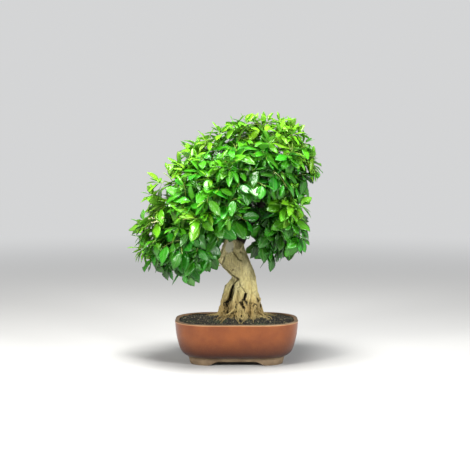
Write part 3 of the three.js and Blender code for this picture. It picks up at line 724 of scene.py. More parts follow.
def plan_ring(inset, corner_steps=28, long_steps=14, short_steps=6):
    """The pot's plan, drawn in by an inset: a rounded rectangle about the pot's middle."""
    half_x = (POT_HIGH.x - POT_LOW.x) / 2 - POT_CORNER
    half_y = (POT_HIGH.y - POT_LOW.y) / 2 - POT_CORNER
    radius = POT_CORNER - inset
    ring = []
    for quarter, (sx, sy) in enumerate(((1, 1), (-1, 1), (-1, -1), (1, -1))):
        for i in range(corner_steps + 1):
            angle = (quarter + i / corner_steps) * math.pi / 2
            x, y = sx * half_x + radius * math.cos(angle), sy * half_y + radius * math.sin(angle)
            ring.append(Vector((x, y, 0)))
        steps = long_steps if quarter % 2 == 0 else short_steps
        end = (quarter + 1) * math.pi / 2
        nx, ny = ((-1, 1), (-1, -1), (1, -1), (1, 1))[quarter]
        start = ring[-1]
        goal = Vector((nx * half_x + radius * math.cos(end), ny * half_y + radius * math.sin(end), 0))
        ring += [start.lerp(goal, k / steps) for k in range(1, steps)]
    return [p + POT_MIDDLE for p in ring]


def smooth_profile(points, spans=6):
    """A round curve through (height, inset) points, with the slopes that a natural spline would take."""
    z, inset = np.array(points).T
    knots = np.arange(len(z))
    fine = np.linspace(0, len(z) - 1, (len(z) - 1) * spans + 1)
    made = []
    for values in (z, inset):
        slopes = np.gradient(values, knots)
        i = np.minimum(fine.astype(int), len(z) - 2)
        t = fine - i
        h0, h1 = 2 * t**3 - 3 * t**2 + 1, -2 * t**3 + 3 * t**2
        g0, g1 = t**3 - 2 * t**2 + t, t**3 - t**2
        made.append(h0 * values[i] + h1 * values[i + 1] + g0 * slopes[i] + g1 * slopes[i + 1])
    return list(zip(*made))


def rim_profile(steps=5):
    """The rim's two rounded edges and its flat top, from the outside in."""
    height, outer, inner = POT_HIGH.z / MM, 2.2, 1.6
    made = []
    for k in range(steps + 1):
        turn = k / steps * math.pi / 2
        made.append((height - outer * (1 - math.sin(turn)), outer * (1 - math.cos(turn))))
    for k in range(steps + 1):
        turn = k / steps * math.pi / 2
        made.append((height - inner * (1 - math.cos(turn)), POT_RIM - inner * (1 - math.sin(turn))))
    return made


def arch_height(p):
    """How far the arches between the feet lift the foot's underside, from 0 to 1."""
    front = max(0.0, min(1.0, (ARCH_FRONT - abs(p.x - POT_MIDDLE.x) / MM) / ARCH_SLOPE))
    side = max(0.0, min(1.0, (ARCH_SIDE - abs(p.y - POT_MIDDLE.y) / MM) / ARCH_SLOPE))
    lift = max(front, side)
    return lift * lift * (3 - 2 * lift)


def pot_mesh():
    foot_top = FOOT_INSIDE[0][0]
    profile = FOOT_INSIDE + POT_FOOT + smooth_profile(POT_OUTSIDE) + rim_profile()
    profile += smooth_profile(POT_INSIDE)
    corners, faces = [], []
    for z, inset in profile:
        for p in plan_ring(inset * MM):
            up = arch_height(p) * ARCH_LIFT
            height = up + z * (1 - up / foot_top) if z < foot_top else z
            bow = WALL_BOW * noise.noise(Vector((p.x, p.y, z * MM)) * 28) if 18 < z < 84 else 0
            out = (p - POT_MIDDLE).normalized() * bow * MM
            corners.append(p + out + UP * height * MM)
    around = len(plan_ring(0))
    rows = len(profile)
    for r in range(rows - 1):
        for i in range(around):
            j = (i + 1) % around
            faces.append((r * around + i, r * around + j, (r + 1) * around + j, (r + 1) * around + i))
    faces.append(tuple(range(around))[::-1])
    faces.append(tuple((rows - 1) * around + i for i in range(around)))
    body = new_mesh("pot_body", corners, faces)
    drained = cut_drains(body)
    co = places(drained)
    normals = np.array([v.normal for v in drained.vertices])
    height = co[:, 2] / MM
    outward = np.einsum("ij,ij->i", normals[:, :2], co[:, :2] - np.array(POT_MIDDLE)[:2]) > 0
    low_edge = np.clip((height - GLAZE_FROM) / 0.5, 0, 1)
    rim_edge = np.clip((GLAZE_TO - height) / 0.7, 0, 1)
    give(drained, "glaze", np.where(outward, low_edge * rim_edge, 0.25 * (height > 70)))
    smooth_by(drained, 40)
    return drained


def cut_drains(body):
    """Cuts the two drain holes through the floor."""
    cutter = bmesh.new()
    for side in (-1, 1):
        place = Matrix.Translation(POT_MIDDLE + Vector((side * DRAIN_OFFSET, 0, FLOOR_MIDDLE)) * MM)
        bmesh.ops.create_cone(cutter, cap_ends=True, segments=48, radius1=DRAIN_RADIUS * MM,
                              radius2=DRAIN_RADIUS * MM, depth=16 * MM, matrix=place)
    drill = bpy.data.meshes.new("drill")
    cutter.to_mesh(drill)
    cutter.free()
    tool = bpy.data.objects.new("drill", drill)
    holder = bpy.data.objects.new("pot_body", body)
    for o in (tool, holder):
        bpy.context.scene.collection.objects.link(o)
    boolean = holder.modifiers.new("drains", "BOOLEAN")
    boolean.operation, boolean.object, boolean.solver = "DIFFERENCE", tool, "EXACT"
    made = evaluated(holder)
    for o in (tool, holder):
        bpy.data.objects.remove(o)
    return made


# Drain screens

def net_tree():
    tree, given, put_out = geometry_tree("drain_net", {
        "Size": ("Float", 34 * MM), "Bars": ("Int", NET_BARS), "Bar Width": ("Float", NET_BAR),
        "Finish": ("Material", None)})
    grid = put(tree, "GeometryNodeMeshGrid", {
        "Size X": given.outputs["Size"], "Size Y": given.outputs["Size"],
        "Vertices X": given.outputs["Bars"], "Vertices Y": given.outputs["Bars"]})
    lines = put(tree, "GeometryNodeMeshToCurve", {"Mesh": result(grid, "Mesh")})
    bar = put(tree, "GeometryNodeCurvePrimitiveQuadrilateral", {
        "Width": given.outputs["Bar Width"], "Height": given.outputs["Bar Width"]}, mode="RECTANGLE")
    bars = put(tree, "GeometryNodeCurveToMesh", {
        "Curve": result(lines), "Profile Curve": result(bar), "Fill Caps": True})
    end_tree(tree, put_out, result(bars), given.outputs["Finish"])
    return tree


def make_screens(material):
    tree = net_tree()
    for side in ("left", "right"):
        node = "drain_screen_" + side
        low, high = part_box(node)
        mesh = grown(new_mesh(node, [(0, 0, 0)], []), "net_" + side, tree, {
            "Size": high.x - low.x - NET_BAR, "Bars": NET_BARS, "Bar Width": NET_BAR, "Finish": material})
        mesh.transform(Matrix.Translation((low + high) / 2))
        piece("net_" + side, mesh, (), "net", node)


# Soil

def soil_height(x, y, half_x, half_y):
    """Height of the mound at a place relative to the pot's middle."""
    share = min(1.0, math.hypot((x - MOUND_MIDDLE.x) / half_x, (y - MOUND_MIDDLE.y) / half_y))
    rise = 1 - share * share * (3 - 2 * share)
    return SOIL_EDGE + (SOIL_CROWN - SOIL_EDGE) * rise


def soil_tree():
    tree, given, put_out = geometry_tree("granules_on_mound", {
        "Granule": ("Object", None), "Wood": ("Object", None), "Density": ("Float", 9e4), "Seed": ("Int", 4),
        "Smallest": ("Float", 0.6), "Largest": ("Float", 1.5), "Clearance": ("Float", 1.2 * MM),
        "Finish": ("Material", None)})
    mound = given.outputs["Geometry"]
    top = value_of(tree, "top")
    scatter = put(tree, "GeometryNodeDistributePointsOnFaces", {
        "Mesh": mound, "Selection": calc(tree, "GREATER_THAN", top, 0.5), "Density": given.outputs["Density"],
        "Seed": given.outputs["Seed"]}, distribute_method="RANDOM")
    wood = put(tree, "GeometryNodeObjectInfo", {"Object": given.outputs["Wood"]})
    near = put(tree, "GeometryNodeProximity", {0: result(wood, "Geometry")}, target_element="FACES")
    close = calc(tree, "LESS_THAN", result(near, "Distance"), given.outputs["Clearance"])
    kept = put(tree, "GeometryNodeDeleteGeometry", {
        "Geometry": result(scatter, "Points"), "Selection": close}, domain="POINT")
    tones = put(tree, "FunctionNodeRandomValue", {"Seed": 11}, data_type="FLOAT")
    toned = put(tree, "GeometryNodeStoreNamedAttribute", {
        "Geometry": result(kept), "Name": "tone", "Value": result(tones)}, data_type="FLOAT", domain="POINT")
    turn = put(tree, "FunctionNodeRandomValue", {
        "Max": (6.28, 6.28, 6.28), "Seed": 12}, data_type="FLOAT_VECTOR")
    size = put(tree, "FunctionNodeRandomValue", {
        "Min": given.outputs["Smallest"], "Max": given.outputs["Largest"], "Seed": 13}, data_type="FLOAT")
    grain = put(tree, "GeometryNodeObjectInfo", {"Object": given.outputs["Granule"]})
    copies = put(tree, "GeometryNodeInstanceOnPoints", {
        "Points": result(toned), "Instance": result(grain, "Geometry"), "Rotation": result(turn),
        "Scale": result(size)})
    both = put(tree, "GeometryNodeJoinGeometry")
    solid = put(tree, "GeometryNodeRealizeInstances", {"Geometry": result(copies)})
    tree.links.new(result(solid), both.inputs[0])
    tree.links.new(mound, both.inputs[0])
    painted = put(tree, "GeometryNodeSetMaterial", {
        "Geometry": result(both), "Material": given.outputs["Finish"]})
    tree.links.new(result(painted), put_out.inputs[0])
    return tree


def granule():
    """A lump with 20 faces, about 4 mm across."""
    lump = bmesh.new()
    bmesh.ops.create_icosphere(lump, subdivisions=1, radius=2.1 * MM)
    draw = random.Random(5)
    for v in lump.verts:
        v.co = v.co * draw.uniform(0.75, 1.2)
        v.co.z *= 0.8
    mesh = bpy.data.meshes.new("granule")
    lump.to_mesh(mesh)
    lump.free()
    made = bpy.data.objects.new("granule", mesh)
    bpy.context.scene.collection.objects.link(made)
    return made


def mound_mesh():
    """The soil's body: a mound on top, the pot's inside below."""
    half_x, half_y = (POT_HIGH.x - POT_LOW.x) / 2, (POT_HIGH.y - POT_LOW.y) / 2
    inside = [(z, i + 0.3) for z, i in smooth_profile(POT_INSIDE)[1:]]
    corners, faces = [], []
    top_rings = [1, 0.96, 0.9, 0.82, 0.73, 0.64, 0.55, 0.46, 0.37, 0.28, 0.19, 0.1]
    edge = plan_ring(8.3 * MM)
    around = len(edge)
    for share in reversed(top_rings):
        for p in edge:
            q = POT_MIDDLE.lerp(p, share)
            rel = q - POT_MIDDLE
            z = soil_height(rel.x, rel.y, half_x, half_y) + 0.9 * MM * noise.noise(q * 160)
            corners.append(Vector((q.x, q.y, z if share < 1 else SOIL_EDGE)))
    lowest = [p for p in inside if p[0] < SOIL_EDGE / MM - 1]
    for z, inset in lowest:
        corners += [p + UP * (z + 0.3) * MM for p in plan_ring(inset * MM)]
    rows = len(top_rings) + len(lowest)
    for r in range(rows - 1):
        for i in range(around):
            j = (i + 1) % around
            faces.append((r * around + i, (r + 1) * around + i, (r + 1) * around + j, r * around + j))
    faces.append(tuple(range(around)))
    faces.append(tuple((rows - 1) * around + i for i in range(around))[::-1])
    mesh = new_mesh("mound", corners, faces)
    give(mesh, "top", [1.0 if k < len(top_rings) * around else 0.0 for k in range(len(corners))])
    give(mesh, "tone", [0.2] * len(corners))
    return mesh


def make_soil(material, wood):
    lump = granule()
    mesh = grown(mound_mesh(), "soil_granules", soil_tree(), {
        "Granule": lump, "Wood": wood, "Density": 1.5e5, "Seed": 4, "Smallest": 0.4, "Largest": 1.2,
        "Clearance": 1.0 * MM, "Finish": material})
    bpy.data.objects.remove(lump)
    piece("soil_granules", mesh, (), "soil", "soil")


# Wood

def trunk_middle(z):
    """The trunk's axis at a height."""
    line = [Vector(p) * MM for p in TRUNK_LINE]
    for a, b in zip(line, line[1:]):
        if z <= b.z:
            return a.lerp(b, max(0.0, (z - a.z) / (b.z - a.z))) + POT_MIDDLE
    return line[-1] + POT_MIDDLE


def relax(co, edges, weight, rounds):
    """Moves each corner towards its neighbours' middle, by its weight."""
    a, b = edges.T
    count = np.bincount(np.r_[a, b], minlength=len(co))[:, None]
    for _ in range(rounds):
        total = np.zeros_like(co)
        for axis in range(3):
            total[:, axis] = (np.bincount(a, co[b, axis], len(co)) + np.bincount(b, co[a, axis], len(co)))
        co = co + weight[:, None] * (total / count - co)
    return co


def bark_tree():
    """Fibrous ridges, cracks and small knots along the surface, as deep as the attribute says, and painted
    shade for the cracks, the low spots between lumps and the hollows.
    """
    tree, given, put_out = geometry_tree("bark_relief", {
        "Depth": ("Float", 1.1 * MM), "Fibre Scale": ("Float", 130.0), "Lump Scale": ("Float", 38.0),
        "Knot Scale": ("Float", 120.0), "Finish": ("Material", None)})
    place = result(put(tree, "GeometryNodeInputPosition"))
    lean = vector(tree, "MULTIPLY", place, (1, 1, 0.2))
    fibres = put(tree, "ShaderNodeTexNoise", {"Vector": lean, "Scale": given.outputs["Fibre Scale"],
                                              "Detail": 3.0, "Roughness": 0.6, "Distortion": 0.5})
    ridge = calc(tree, "ABSOLUTE", minus(tree, result(fibres), 0.5))
    crack = step(tree, ridge, 0.055, 0.005)
    lumps = put(tree, "ShaderNodeTexNoise", {
        "Vector": place, "Scale": given.outputs["Lump Scale"], "Detail": 3.0})
    knots = put(tree, "ShaderNodeTexNoise", {
        "Vector": place, "Scale": given.outputs["Knot Scale"], "Detail": 2.0})
    swell = times(tree, minus(tree, result(lumps), 0.5), 3.4)
    bumps = times(tree, minus(tree, result(knots), 0.5), 3.0)
    relief = plus(tree, swell, bumps)
    relief = plus(tree, relief, times(tree, ridge, 2.2))
    relief = minus(tree, relief, times(tree, crack, 0.45))
    rough = value_of(tree, "rough")
    depth = times(tree, times(tree, relief, rough), given.outputs["Depth"])
    normal = result(put(tree, "GeometryNodeInputNormal"))
    moved = put(tree, "GeometryNodeSetPosition", {
        "Geometry": given.outputs["Geometry"], "Offset": scaled(tree, normal, depth)})
    # Painted shade: cracks, the low spots between lumps and the pressed hollows (pit) are marked dark, stored
    # as deep
    low = step(tree, plus(tree, result(lumps), times(tree, result(knots), 0.6)), 0.72, 0.52)
    dark = times(tree, plus(tree, times(tree, crack, 0.35), times(tree, low, 0.3)), rough)
    deep = calc(tree, "MAXIMUM", dark, value_of(tree, "pit"))
    marked = put(tree, "GeometryNodeStoreNamedAttribute", {
        "Geometry": result(moved), "Name": "deep", "Value": deep}, data_type="FLOAT", domain="POINT")
    end_tree(tree, put_out, result(marked), given.outputs["Finish"])
    return tree


def tube_tree():
    """A round tube along each chain of edges, as thick as its corners say."""
    tree, given, put_out = geometry_tree("round_tubes", {
        "Sides": ("Int", 6), "Step": ("Float", 4 * MM), "Finish": ("Material", None)})
    lines = put(tree, "GeometryNodeMeshToCurve", {"Mesh": given.outputs["Geometry"]})
    curved = put(tree, "GeometryNodeCurveSplineType", {"Curve": result(lines)}, spline_type="CATMULL_ROM")
    thick = put(tree, "GeometryNodeSetCurveRadius", {
        "Curve": result(curved), "Radius": value_of(tree, "radius")})
    even = put(tree, "GeometryNodeResampleCurve", {"Curve": result(thick), "Length": given.outputs["Step"]},
               mode="LENGTH")
    ring = put(tree, "GeometryNodeCurvePrimitiveCircle", {
        "Resolution": given.outputs["Sides"], "Radius": 1.0})
    tube = put(tree, "GeometryNodeCurveToMesh", {
        "Curve": result(even), "Profile Curve": result(ring), "Fill Caps": True,
        "Scale": result(put(tree, "GeometryNodeInputRadius"))})
    end_tree(tree, put_out, result(tube), given.outputs["Finish"])
    return tree


def chains_mesh(name, chains):
    """Corners and edges of several lines, each a list of (place, radius)."""
    corners, edges, radius = [], [], []
    for chain in chains:
        first = len(corners)
        corners += [place for place, _ in chain]
        radius += [thick for _, thick in chain]
        edges += [(first + k, first + k + 1) for k in range(len(chain) - 1)]
    mesh = new_mesh(name, corners, [], edges)
    give(mesh, "radius", radius)
    return mesh


def fused_roots():
    """Roots that have grown into the flare, between the modelled ones."""
    draw = random.Random(3)
    middle = Vector((FLARE_MIDDLE[0], FLARE_MIDDLE[1], 0))
    chains = []
    for k in range(FUSED_ROOTS):
        angle = 2 * math.pi * (k + 0.6 * draw.random()) / FUSED_ROOTS
        twist = draw.uniform(-0.3, 0.3)
        top, thick = draw.uniform(132, 168), draw.uniform(3.2, 5.0)
        start = Vector((14 + 19 * math.cos(angle), 1 + 17 * math.sin(angle), top))
        foot_angle = angle + twist
        spread = draw.uniform(0.84, 0.98)
        x, y = FLARE_SPREAD[0] * math.cos(foot_angle), FLARE_SPREAD[1] * math.sin(foot_angle)
        foot = middle.lerp(middle + Vector((x, y, 0)), spread) + UP * 80
        chain = []
        for i in range(6):
            t = i / 5
            p = start.lerp(foot, t)
            inward = (middle - Vector((p.x, p.y, 0))) * 0.16 * math.sin(math.pi * t)
            chain.append(((p + inward) * MM + POT_MIDDLE, (thick - 2.0 * t) * MM))
        chains.append(chain)
    return chains


def stub_chains():
    """Thin dead stubs on the trunk."""
    return [[(Vector(p) * MM + POT_MIDDLE, (STUB_THICK - STUB_TAPER * k / (len(line) - 1)) * MM)
             for k, p in enumerate(line)] for line in STUBS]


def soil_level(x, y):
    rel = Vector((x, y, 0)) - POT_MIDDLE
    half = (POT_HIGH - POT_LOW) / 2
    return soil_height(rel.x, rel.y, half.x, half.y)


def loose_roots(wood):
    """Thin roots that cling to the flare, bridge its hollows and run out over the soil."""
    draw = random.Random(12)
    middle = Vector((FLARE_MIDDLE[0] * MM, FLARE_MIDDLE[1] * MM, 0)) + POT_MIDDLE
    chains = []
    for k in range(LOOSE_ROOTS):
        angle = 2 * math.pi * (k + draw.random()) / LOOSE_ROOTS
        turn, bend = draw.uniform(-0.05, 0.05), draw.uniform(-0.01, 0.01)
        z, thick = draw.uniform(93, 130) * MM, draw.choice((0.8, 1.0, 1.2, 1.5, 2.0)) * MM
        beyond = draw.uniform(1, 9)
        spots, away = [], None
        while True:
            out = Vector((math.cos(angle), math.sin(angle), 0))
            guess = (26 + 20 * min(1, max(0, (148 - z / MM) / 64))) * MM
            hit = wood.ray_cast(middle + out * 0.08 + UP * z, -out, 0.08)[0]
            reach = max(guess - 5 * MM, (hit - middle - UP * z).length if hit else 0)
            away = reach if away is None else away + 0.5 * (reach - away)
            p = middle + out * (away + 0.3 * thick) + UP * z
            ground = soil_level(p.x, p.y)
            if z <= ground + thick:
                break
            spots.append(p)
            z -= draw.uniform(3, 5) * MM
            turn += bend + draw.uniform(-0.03, 0.03)
            angle += turn
        if not spots:
            continue
        place = spots[-1]
        way = Vector((math.cos(angle), math.sin(angle), 0))
        way = (way + way.cross(UP) * draw.uniform(-0.9, 0.9)).normalized()
        for i in range(int(beyond)):
            place = place + way * 4.5 * MM
            rel = place - POT_MIDDLE
            if abs(rel.x) > 108 * MM or abs(rel.y) > 76 * MM:
                break
            last = i >= int(beyond) - 1
            lift = (-2.5 if last else draw.uniform(1.2, 3.4)) * MM
            spots.append(Vector((place.x, place.y, soil_level(place.x, place.y) + lift)))
            way = (way + way.cross(UP) * draw.uniform(-0.35, 0.35)).normalized()
        if len(spots) > 2:
            count = len(spots) - 1
            chains.append([(p, thick * (1 - 0.55 * i / count)) for i, p in enumerate(spots)])
    return chains


def tangle_hollows():
    """Small hollows between the roots, most of them upright."""
    draw = random.Random(31)
    left, right, low, high = TANGLE
    made = []
    for _ in range(TANGLE_HOLLOWS):
        x, z = draw.uniform(left, right), draw.uniform(low, high)
        made.append(([(x, z), (x + draw.uniform(-3, 3), z - draw.uniform(1, 7))], draw.uniform(1.6, 3.0),
                     draw.uniform(4, 9)))
    return made


def tangle_strands():
    """Thin strands that cross the roots at all slopes."""
    draw = random.Random(7)
    left, right, low, high = TANGLE
    made = []
    for _ in range(TANGLE_STRANDS):
        x, z = draw.uniform(left - 4, right + 6), draw.uniform(low + 4, high)
        aside, down, bow = draw.uniform(-15, 15), draw.uniform(7, 20), draw.uniform(-3, 3)
        line = [(x, z), (x + 0.5 * aside + bow, z - 0.5 * down), (x + aside, z - down)]
        made.append((line, draw.uniform(0.6, 1.4)))
    return made


def front_strands(wood):
    """The strands, laid on the front and bridging its hollows, with both ends sunk into the wood."""
    draw = random.Random(5)
    chains = []
    for line, thick in STRANDS + tangle_strands():
        spots = []
        for (x0, z0), (x1, z1) in zip(line, line[1:]):
            for k in range(3):
                x, z = x0 + (x1 - x0) * k / 3 + draw.uniform(-0.9, 0.9), z0 + (z1 - z0) * k / 3
                start = Vector((x, -140, z)) * MM + POT_MIDDLE
                hit = wood.ray_cast(start, Vector((0, 1, 0)), 0.2)[0]
                ground = soil_level(start.x, start.y)
                if hit and hit.z > ground:
                    spots.append(hit)
        for _ in range(2):
            for a, b, c in zip(spots, spots[1:], spots[2:]):
                b.y = min(b.y, 0.5 * (a.y + c.y))
        for k, p in enumerate(spots):
            p.y += (2.2 if k in (0, len(spots) - 1) else -0.4) * thick * MM
        if len(spots) > 2:
            chains.append([(p, thick * MM * (1 - 0.4 * k / len(spots))) for k, p in enumerate(spots)])
    return chains


def remeshed(mesh, voxel):
    holder = bpy.data.objects.new("rough_wood", mesh)
    bpy.context.scene.collection.objects.link(holder)
    modifier = holder.modifiers.new("skin", "REMESH")
    modifier.mode, modifier.voxel_size = "VOXEL", voxel
    made = evaluated(holder)
    bpy.data.objects.remove(holder)
    return made


def thinned(mesh, weight, triangles):
    """Takes faces away down to a count, first where the weight is high."""
    holder = bpy.data.objects.new("thin_wood", mesh)
    bpy.context.scene.collection.objects.link(holder)
    group = holder.vertex_groups.new(name="fine")
    for value in np.unique(weight):
        group.add([int(i) for i in np.flatnonzero(weight == value)], float(value), "REPLACE")
    modifier = holder.modifiers.new("thin", "DECIMATE")
    modifier.vertex_group = "fine"
    modifier.ratio = min(1.0, triangles / (2 * len(mesh.polygons)))
    modifier.use_collapse_triangulate = True
    made = evaluated(holder)
    bpy.data.objects.remove(holder)
    return made


def wood_zones(co):
    """For each corner: how far out of the trunk it lies, in millimetres past the trunk's skin."""
    axis = np.array([trunk_middle(z) for z in np.linspace(0.08, 0.26, 61)])
    level = np.clip(((co[:, 2] - 0.08) / 0.003).astype(int), 0, 60)
    away = np.linalg.norm(co[:, :2] - axis[level][:, :2], axis=1) / MM
    above = np.clip((co[:, 2] - TRUNK_TOP) / MM, 0, None)
    return np.maximum(away - 36, 0) * (co[:, 2] > 0.15) + above


def scar_mask(co):
    facing = Vector(SCAR_FACING).normalized()
    side = facing.cross(UP).normalized()
    tall = side.cross(facing)
    rel = co - np.array(Vector(SCAR_MIDDLE) * MM + POT_MIDDLE)
    across = rel @ np.array(side) / (SCAR_SIZE[0] * MM)
    along = rel @ np.array(tall) / (SCAR_SIZE[1] * MM)
    depth = rel @ np.array(facing) / MM
    share = np.hypot(across, along)
    return np.clip((1.15 - share) / 0.3, 0, 1) * (abs(depth) < 14), depth, np.array(facing)


def line_distance(co, line):
    """Distance in the XZ plane from each corner, strayed a little, to a line of points in millimetres."""
    flat = co[:, (0, 2)] / MM - np.array([POT_MIDDLE.x, 0]) / MM
    best = np.full(len(co), 1e9)
    for a, b in zip(line, line[1:]):
        a, b = np.array(a, float), np.array(b, float)
        t = np.clip((flat - a) @ (b - a) / ((b - a) @ (b - a)), 0, 1)
        best = np.minimum(best, np.linalg.norm(flat - a - t[:, None] * (b - a), axis=1))
    return best


def strayed(co):
    """The places, each moved a little by noise, so that lines drawn through them waver."""
    moved = co.copy()
    for i in np.flatnonzero((co[:, 2] > 0.08) & (co[:, 2] < 0.262)):
        p = Vector(co[i])
        broad, fine = (np.array(noise.noise_vector(p * scale)) for scale in (95, 260))
        moved[i] += broad * 2.2 * MM + fine * 0.9 * MM
    return moved


def front_mask(co, normals):
    """Corners on the wood's front, below the crown."""
    return np.clip((-normals[:, 1] - 0.1) / 0.3, 0, 1) * (co[:, 2] < 0.256)


def dent(mesh):
    """Presses the hollows into the front, and raises the ridges. Gives how deep each corner lies."""
    co = places(mesh)
    normals = np.array([v.normal for v in mesh.vertices])
    front = front_mask(co, normals)
    drawn = strayed(co)
    pit = np.zeros(len(co))
    for line, half, rise in RIDGES:
        share = np.clip(1 - line_distance(drawn, line) / half, 0, 1)
        co += (front * share * share * (3 - 2 * share) * rise * MM)[:, None] * normals
    for line, half, depth in HOLLOWS + tangle_hollows():
        share = np.clip(1 - line_distance(drawn, line) / half, 0, 1)
        press = front * share * share * (3 - 2 * share)
        co[:, 1] += press * depth * MM
        pit = np.maximum(pit, np.clip(press * 2.2, 0, 1) * min(1, 0.4 + depth / 12))
    move_to(mesh, co)
    return pit


def with_tubes(source, chains):
    """The wood with more limbs put through it, ready to be skinned as one."""
    tubes = grown(chains_mesh("limbs", chains), "limbs", tube_tree(), {"Sides": 10, "Step": 3 * MM})
    both = bmesh.new()
    both.from_mesh(source)
    both.from_mesh(tubes)
    mesh = bpy.data.meshes.new("wood_source")
    both.to_mesh(mesh)
    both.free()
    return mesh


def make_wood(material):
    rough = merged_copy("wood")
    source = bpy.data.meshes.new("wood_plain")
    rough.to_mesh(source)
    rough.free()
    mesh = remeshed(with_tubes(source, fused_roots() + stub_chains()), WOOD_VOXEL)
    co = places(mesh)
    edges = np.empty(len(mesh.edges) * 2, np.int32)
    mesh.edges.foreach_get("vertices", edges)
    edges = edges.reshape(-1, 2)
    out = wood_zones(co)
    on_trunk = np.clip(1 - out / 10, 0, 1)
    high = np.clip((co[:, 2] - 0.15) / 0.03, 0, 1)
    co = relax(co, edges, np.full(len(co), 0.5), 3)
    co = relax(co, edges, 0.5 * on_trunk * (0.1 + 0.9 * high), 26)
    scar, depth, facing = scar_mask(co)
    co -= (scar * 0.75 * (depth - np.median(depth[scar > 0.5])))[:, None] * facing * MM
    move_to(mesh, co)
    # How deep each hollow is pressed, which the bark relief later turns into painted shade
    give(mesh, "pit", dent(mesh))
    mesh = thinned(mesh, np.where(out > 12, 1.0, 0.0), WOOD_TRIANGLES)
    co = places(mesh)
    out = wood_zones(co)
    scar = scar_mask(co)[0]
    give(mesh, "rough", np.clip(1 - out / 60, 0.12, 1) * (1 - 0.85 * scar))
    give(mesh, "scar", scar)
    # Painted shade: the wood darkens above 250 mm, in the crown, a little more the further it reaches out,
    # and fully in the fork at the trunk's top
    rel = (co - np.array(POT_MIDDLE)) / MM
    fork = np.clip((rel[:, 2] - 245 + 0.5 * rel[:, 0]) / 6, 0, 1) * np.clip((rel[:, 0] + 7) / 5, 0, 1)
    shade = np.clip((co[:, 2] - 0.25) / 0.03, 0, 1) * 0.85 + np.clip(out / 40, 0, 1) * 0.15
    give(mesh, "shade", np.maximum(shade, fork))
    mesh.shade_smooth()
    mesh = grown(mesh, "bonsai_wood", bark_tree(), {
        "Depth": 1.0 * MM, "Fibre Scale": 130.0, "Lump Scale": 38.0, "Knot Scale": 120.0, "Finish": material})
    return piece("bonsai_wood", mesh, (), "bark", "wood")


def surface_of(made):
    """A tree for finding the nearest point and ray hits on a piece."""
    shape = bmesh.new()
    shape.from_mesh(made.data)
    tree = BVHTree.FromBMesh(shape)
    shape.free()
    return tree


def make_loose_roots(material, wood):
    lines = chains_mesh("root_lines", loose_roots(wood) + front_strands(wood))
    mesh = grown(lines, "loose_roots", tube_tree(), {"Sides": 6, "Step": 2.5 * MM, "Finish": material})
    mesh.shade_smooth()
    piece("loose_roots", mesh, (), "bark")


# Leaves

def blade(name, rows, columns, outline):
    """One flat leaf of length 1 (Y) and width 1 (X) on its stalk. rows gives (share of length, tooth)."""
    corners, faces, tooth, spread, under = [], [], [], [], []

    def add(x, s, h, t, u):
        corners.append((x, s, h))
        tooth.append(t)
        spread.append(u)
        return len(corners) - 1

    grid = {}
    for r, (s, t) in enumerate(rows):
        along = BLADE_START + s * (1 - BLADE_START)
        for c, x in enumerate(columns):
            if r in (0, len(rows) - 1):
                grid[r, c, 0] = grid[r, c, 1] = grid[r, 0, 0] if c else add(0, along, 0, 0, 0)
            elif abs(x) == 1:
                grid[r, c, 0] = grid[r, c, 1] = add(x * outline(s), along, 0, t * x, x)
            else:
                rise = (1 - abs(x)) ** 0.7
                grid[r, c, 0] = add(x * outline(s), along, rise, 0, x)
                grid[r, c, 1] = add(x * outline(s), along, -rise, 0, x)
    for r in range(len(rows) - 1):
        for c in range(len(columns) - 1):
            for side in (0, 1):
                ring = [grid[spot] for spot in (
                    (r, c, side), (r, c + 1, side), (r + 1, c + 1, side), (r + 1, c, side))]
                ring = list(dict.fromkeys(ring))
                faces.append(ring[::-1] if side else ring)
                under.append(side)
    first = len(corners)
    for s, half in ((-0.03, 0.03), (0.05, 0.024), (0.13, 0.012)):
        for x, h in ((half, 0), (0, 1.6), (-half, 0), (0, -1.6)):
            add(x, s, h, 0, 0)
    for r in range(2):
        for k in range(4):
            a, b = first + r * 4 + k, first + r * 4 + (k + 1) % 4
            faces.append([a, a + 4, b + 4, b])
    faces += [[first + k for k in range(4)], [first + 8 + k for k in (3, 2, 1, 0)]]
    mesh = new_mesh(name, corners, faces)
    give(mesh, "tooth", tooth)
    give(mesh, "under", under + [0] * (len(faces) - len(under)), "FACE")
    layer = mesh.uv_layers.new(name="blade")
    for loop in mesh.loops:
        layer.data[loop.index].uv = (0.5 + 0.5 * spread[loop.vertex_index], corners[loop.vertex_index][1])
    mesh.shade_smooth()
    made = bpy.data.objects.new(name, mesh)
    bpy.context.scene.collection.objects.link(made)
    return made


def grown_blade():
    """A toothed oval leaf with a short point."""
    rows = [(0.0, 0), (0.05, 0), (0.13, 0), (0.23, 0), (0.33, 0)]
    for k in range(TOOTH_COUNT):
        at = TOOTH_FIRST + k * TOOTH_STEP
        rows += [(at, 0.036), (at + 0.034, -0.014)]
    rows += [(0.93, 0), (1.0, 0)]
    return blade("grown_blade", rows, (-1, -0.55, 0, 0.55, 1), lambda s: 1.736 * s**0.85 * (1 - s) ** 0.95)


def young_blade():
    """A narrow leaf with plain edges."""
    rows = [(s, 0) for s in (0.0, 0.08, 0.2, 0.35, 0.52, 0.7, 0.86, 1.0)]
    return blade("young_blade", rows, (-1, 0, 1), lambda s: 1.722 * s**0.8 * (1 - s))


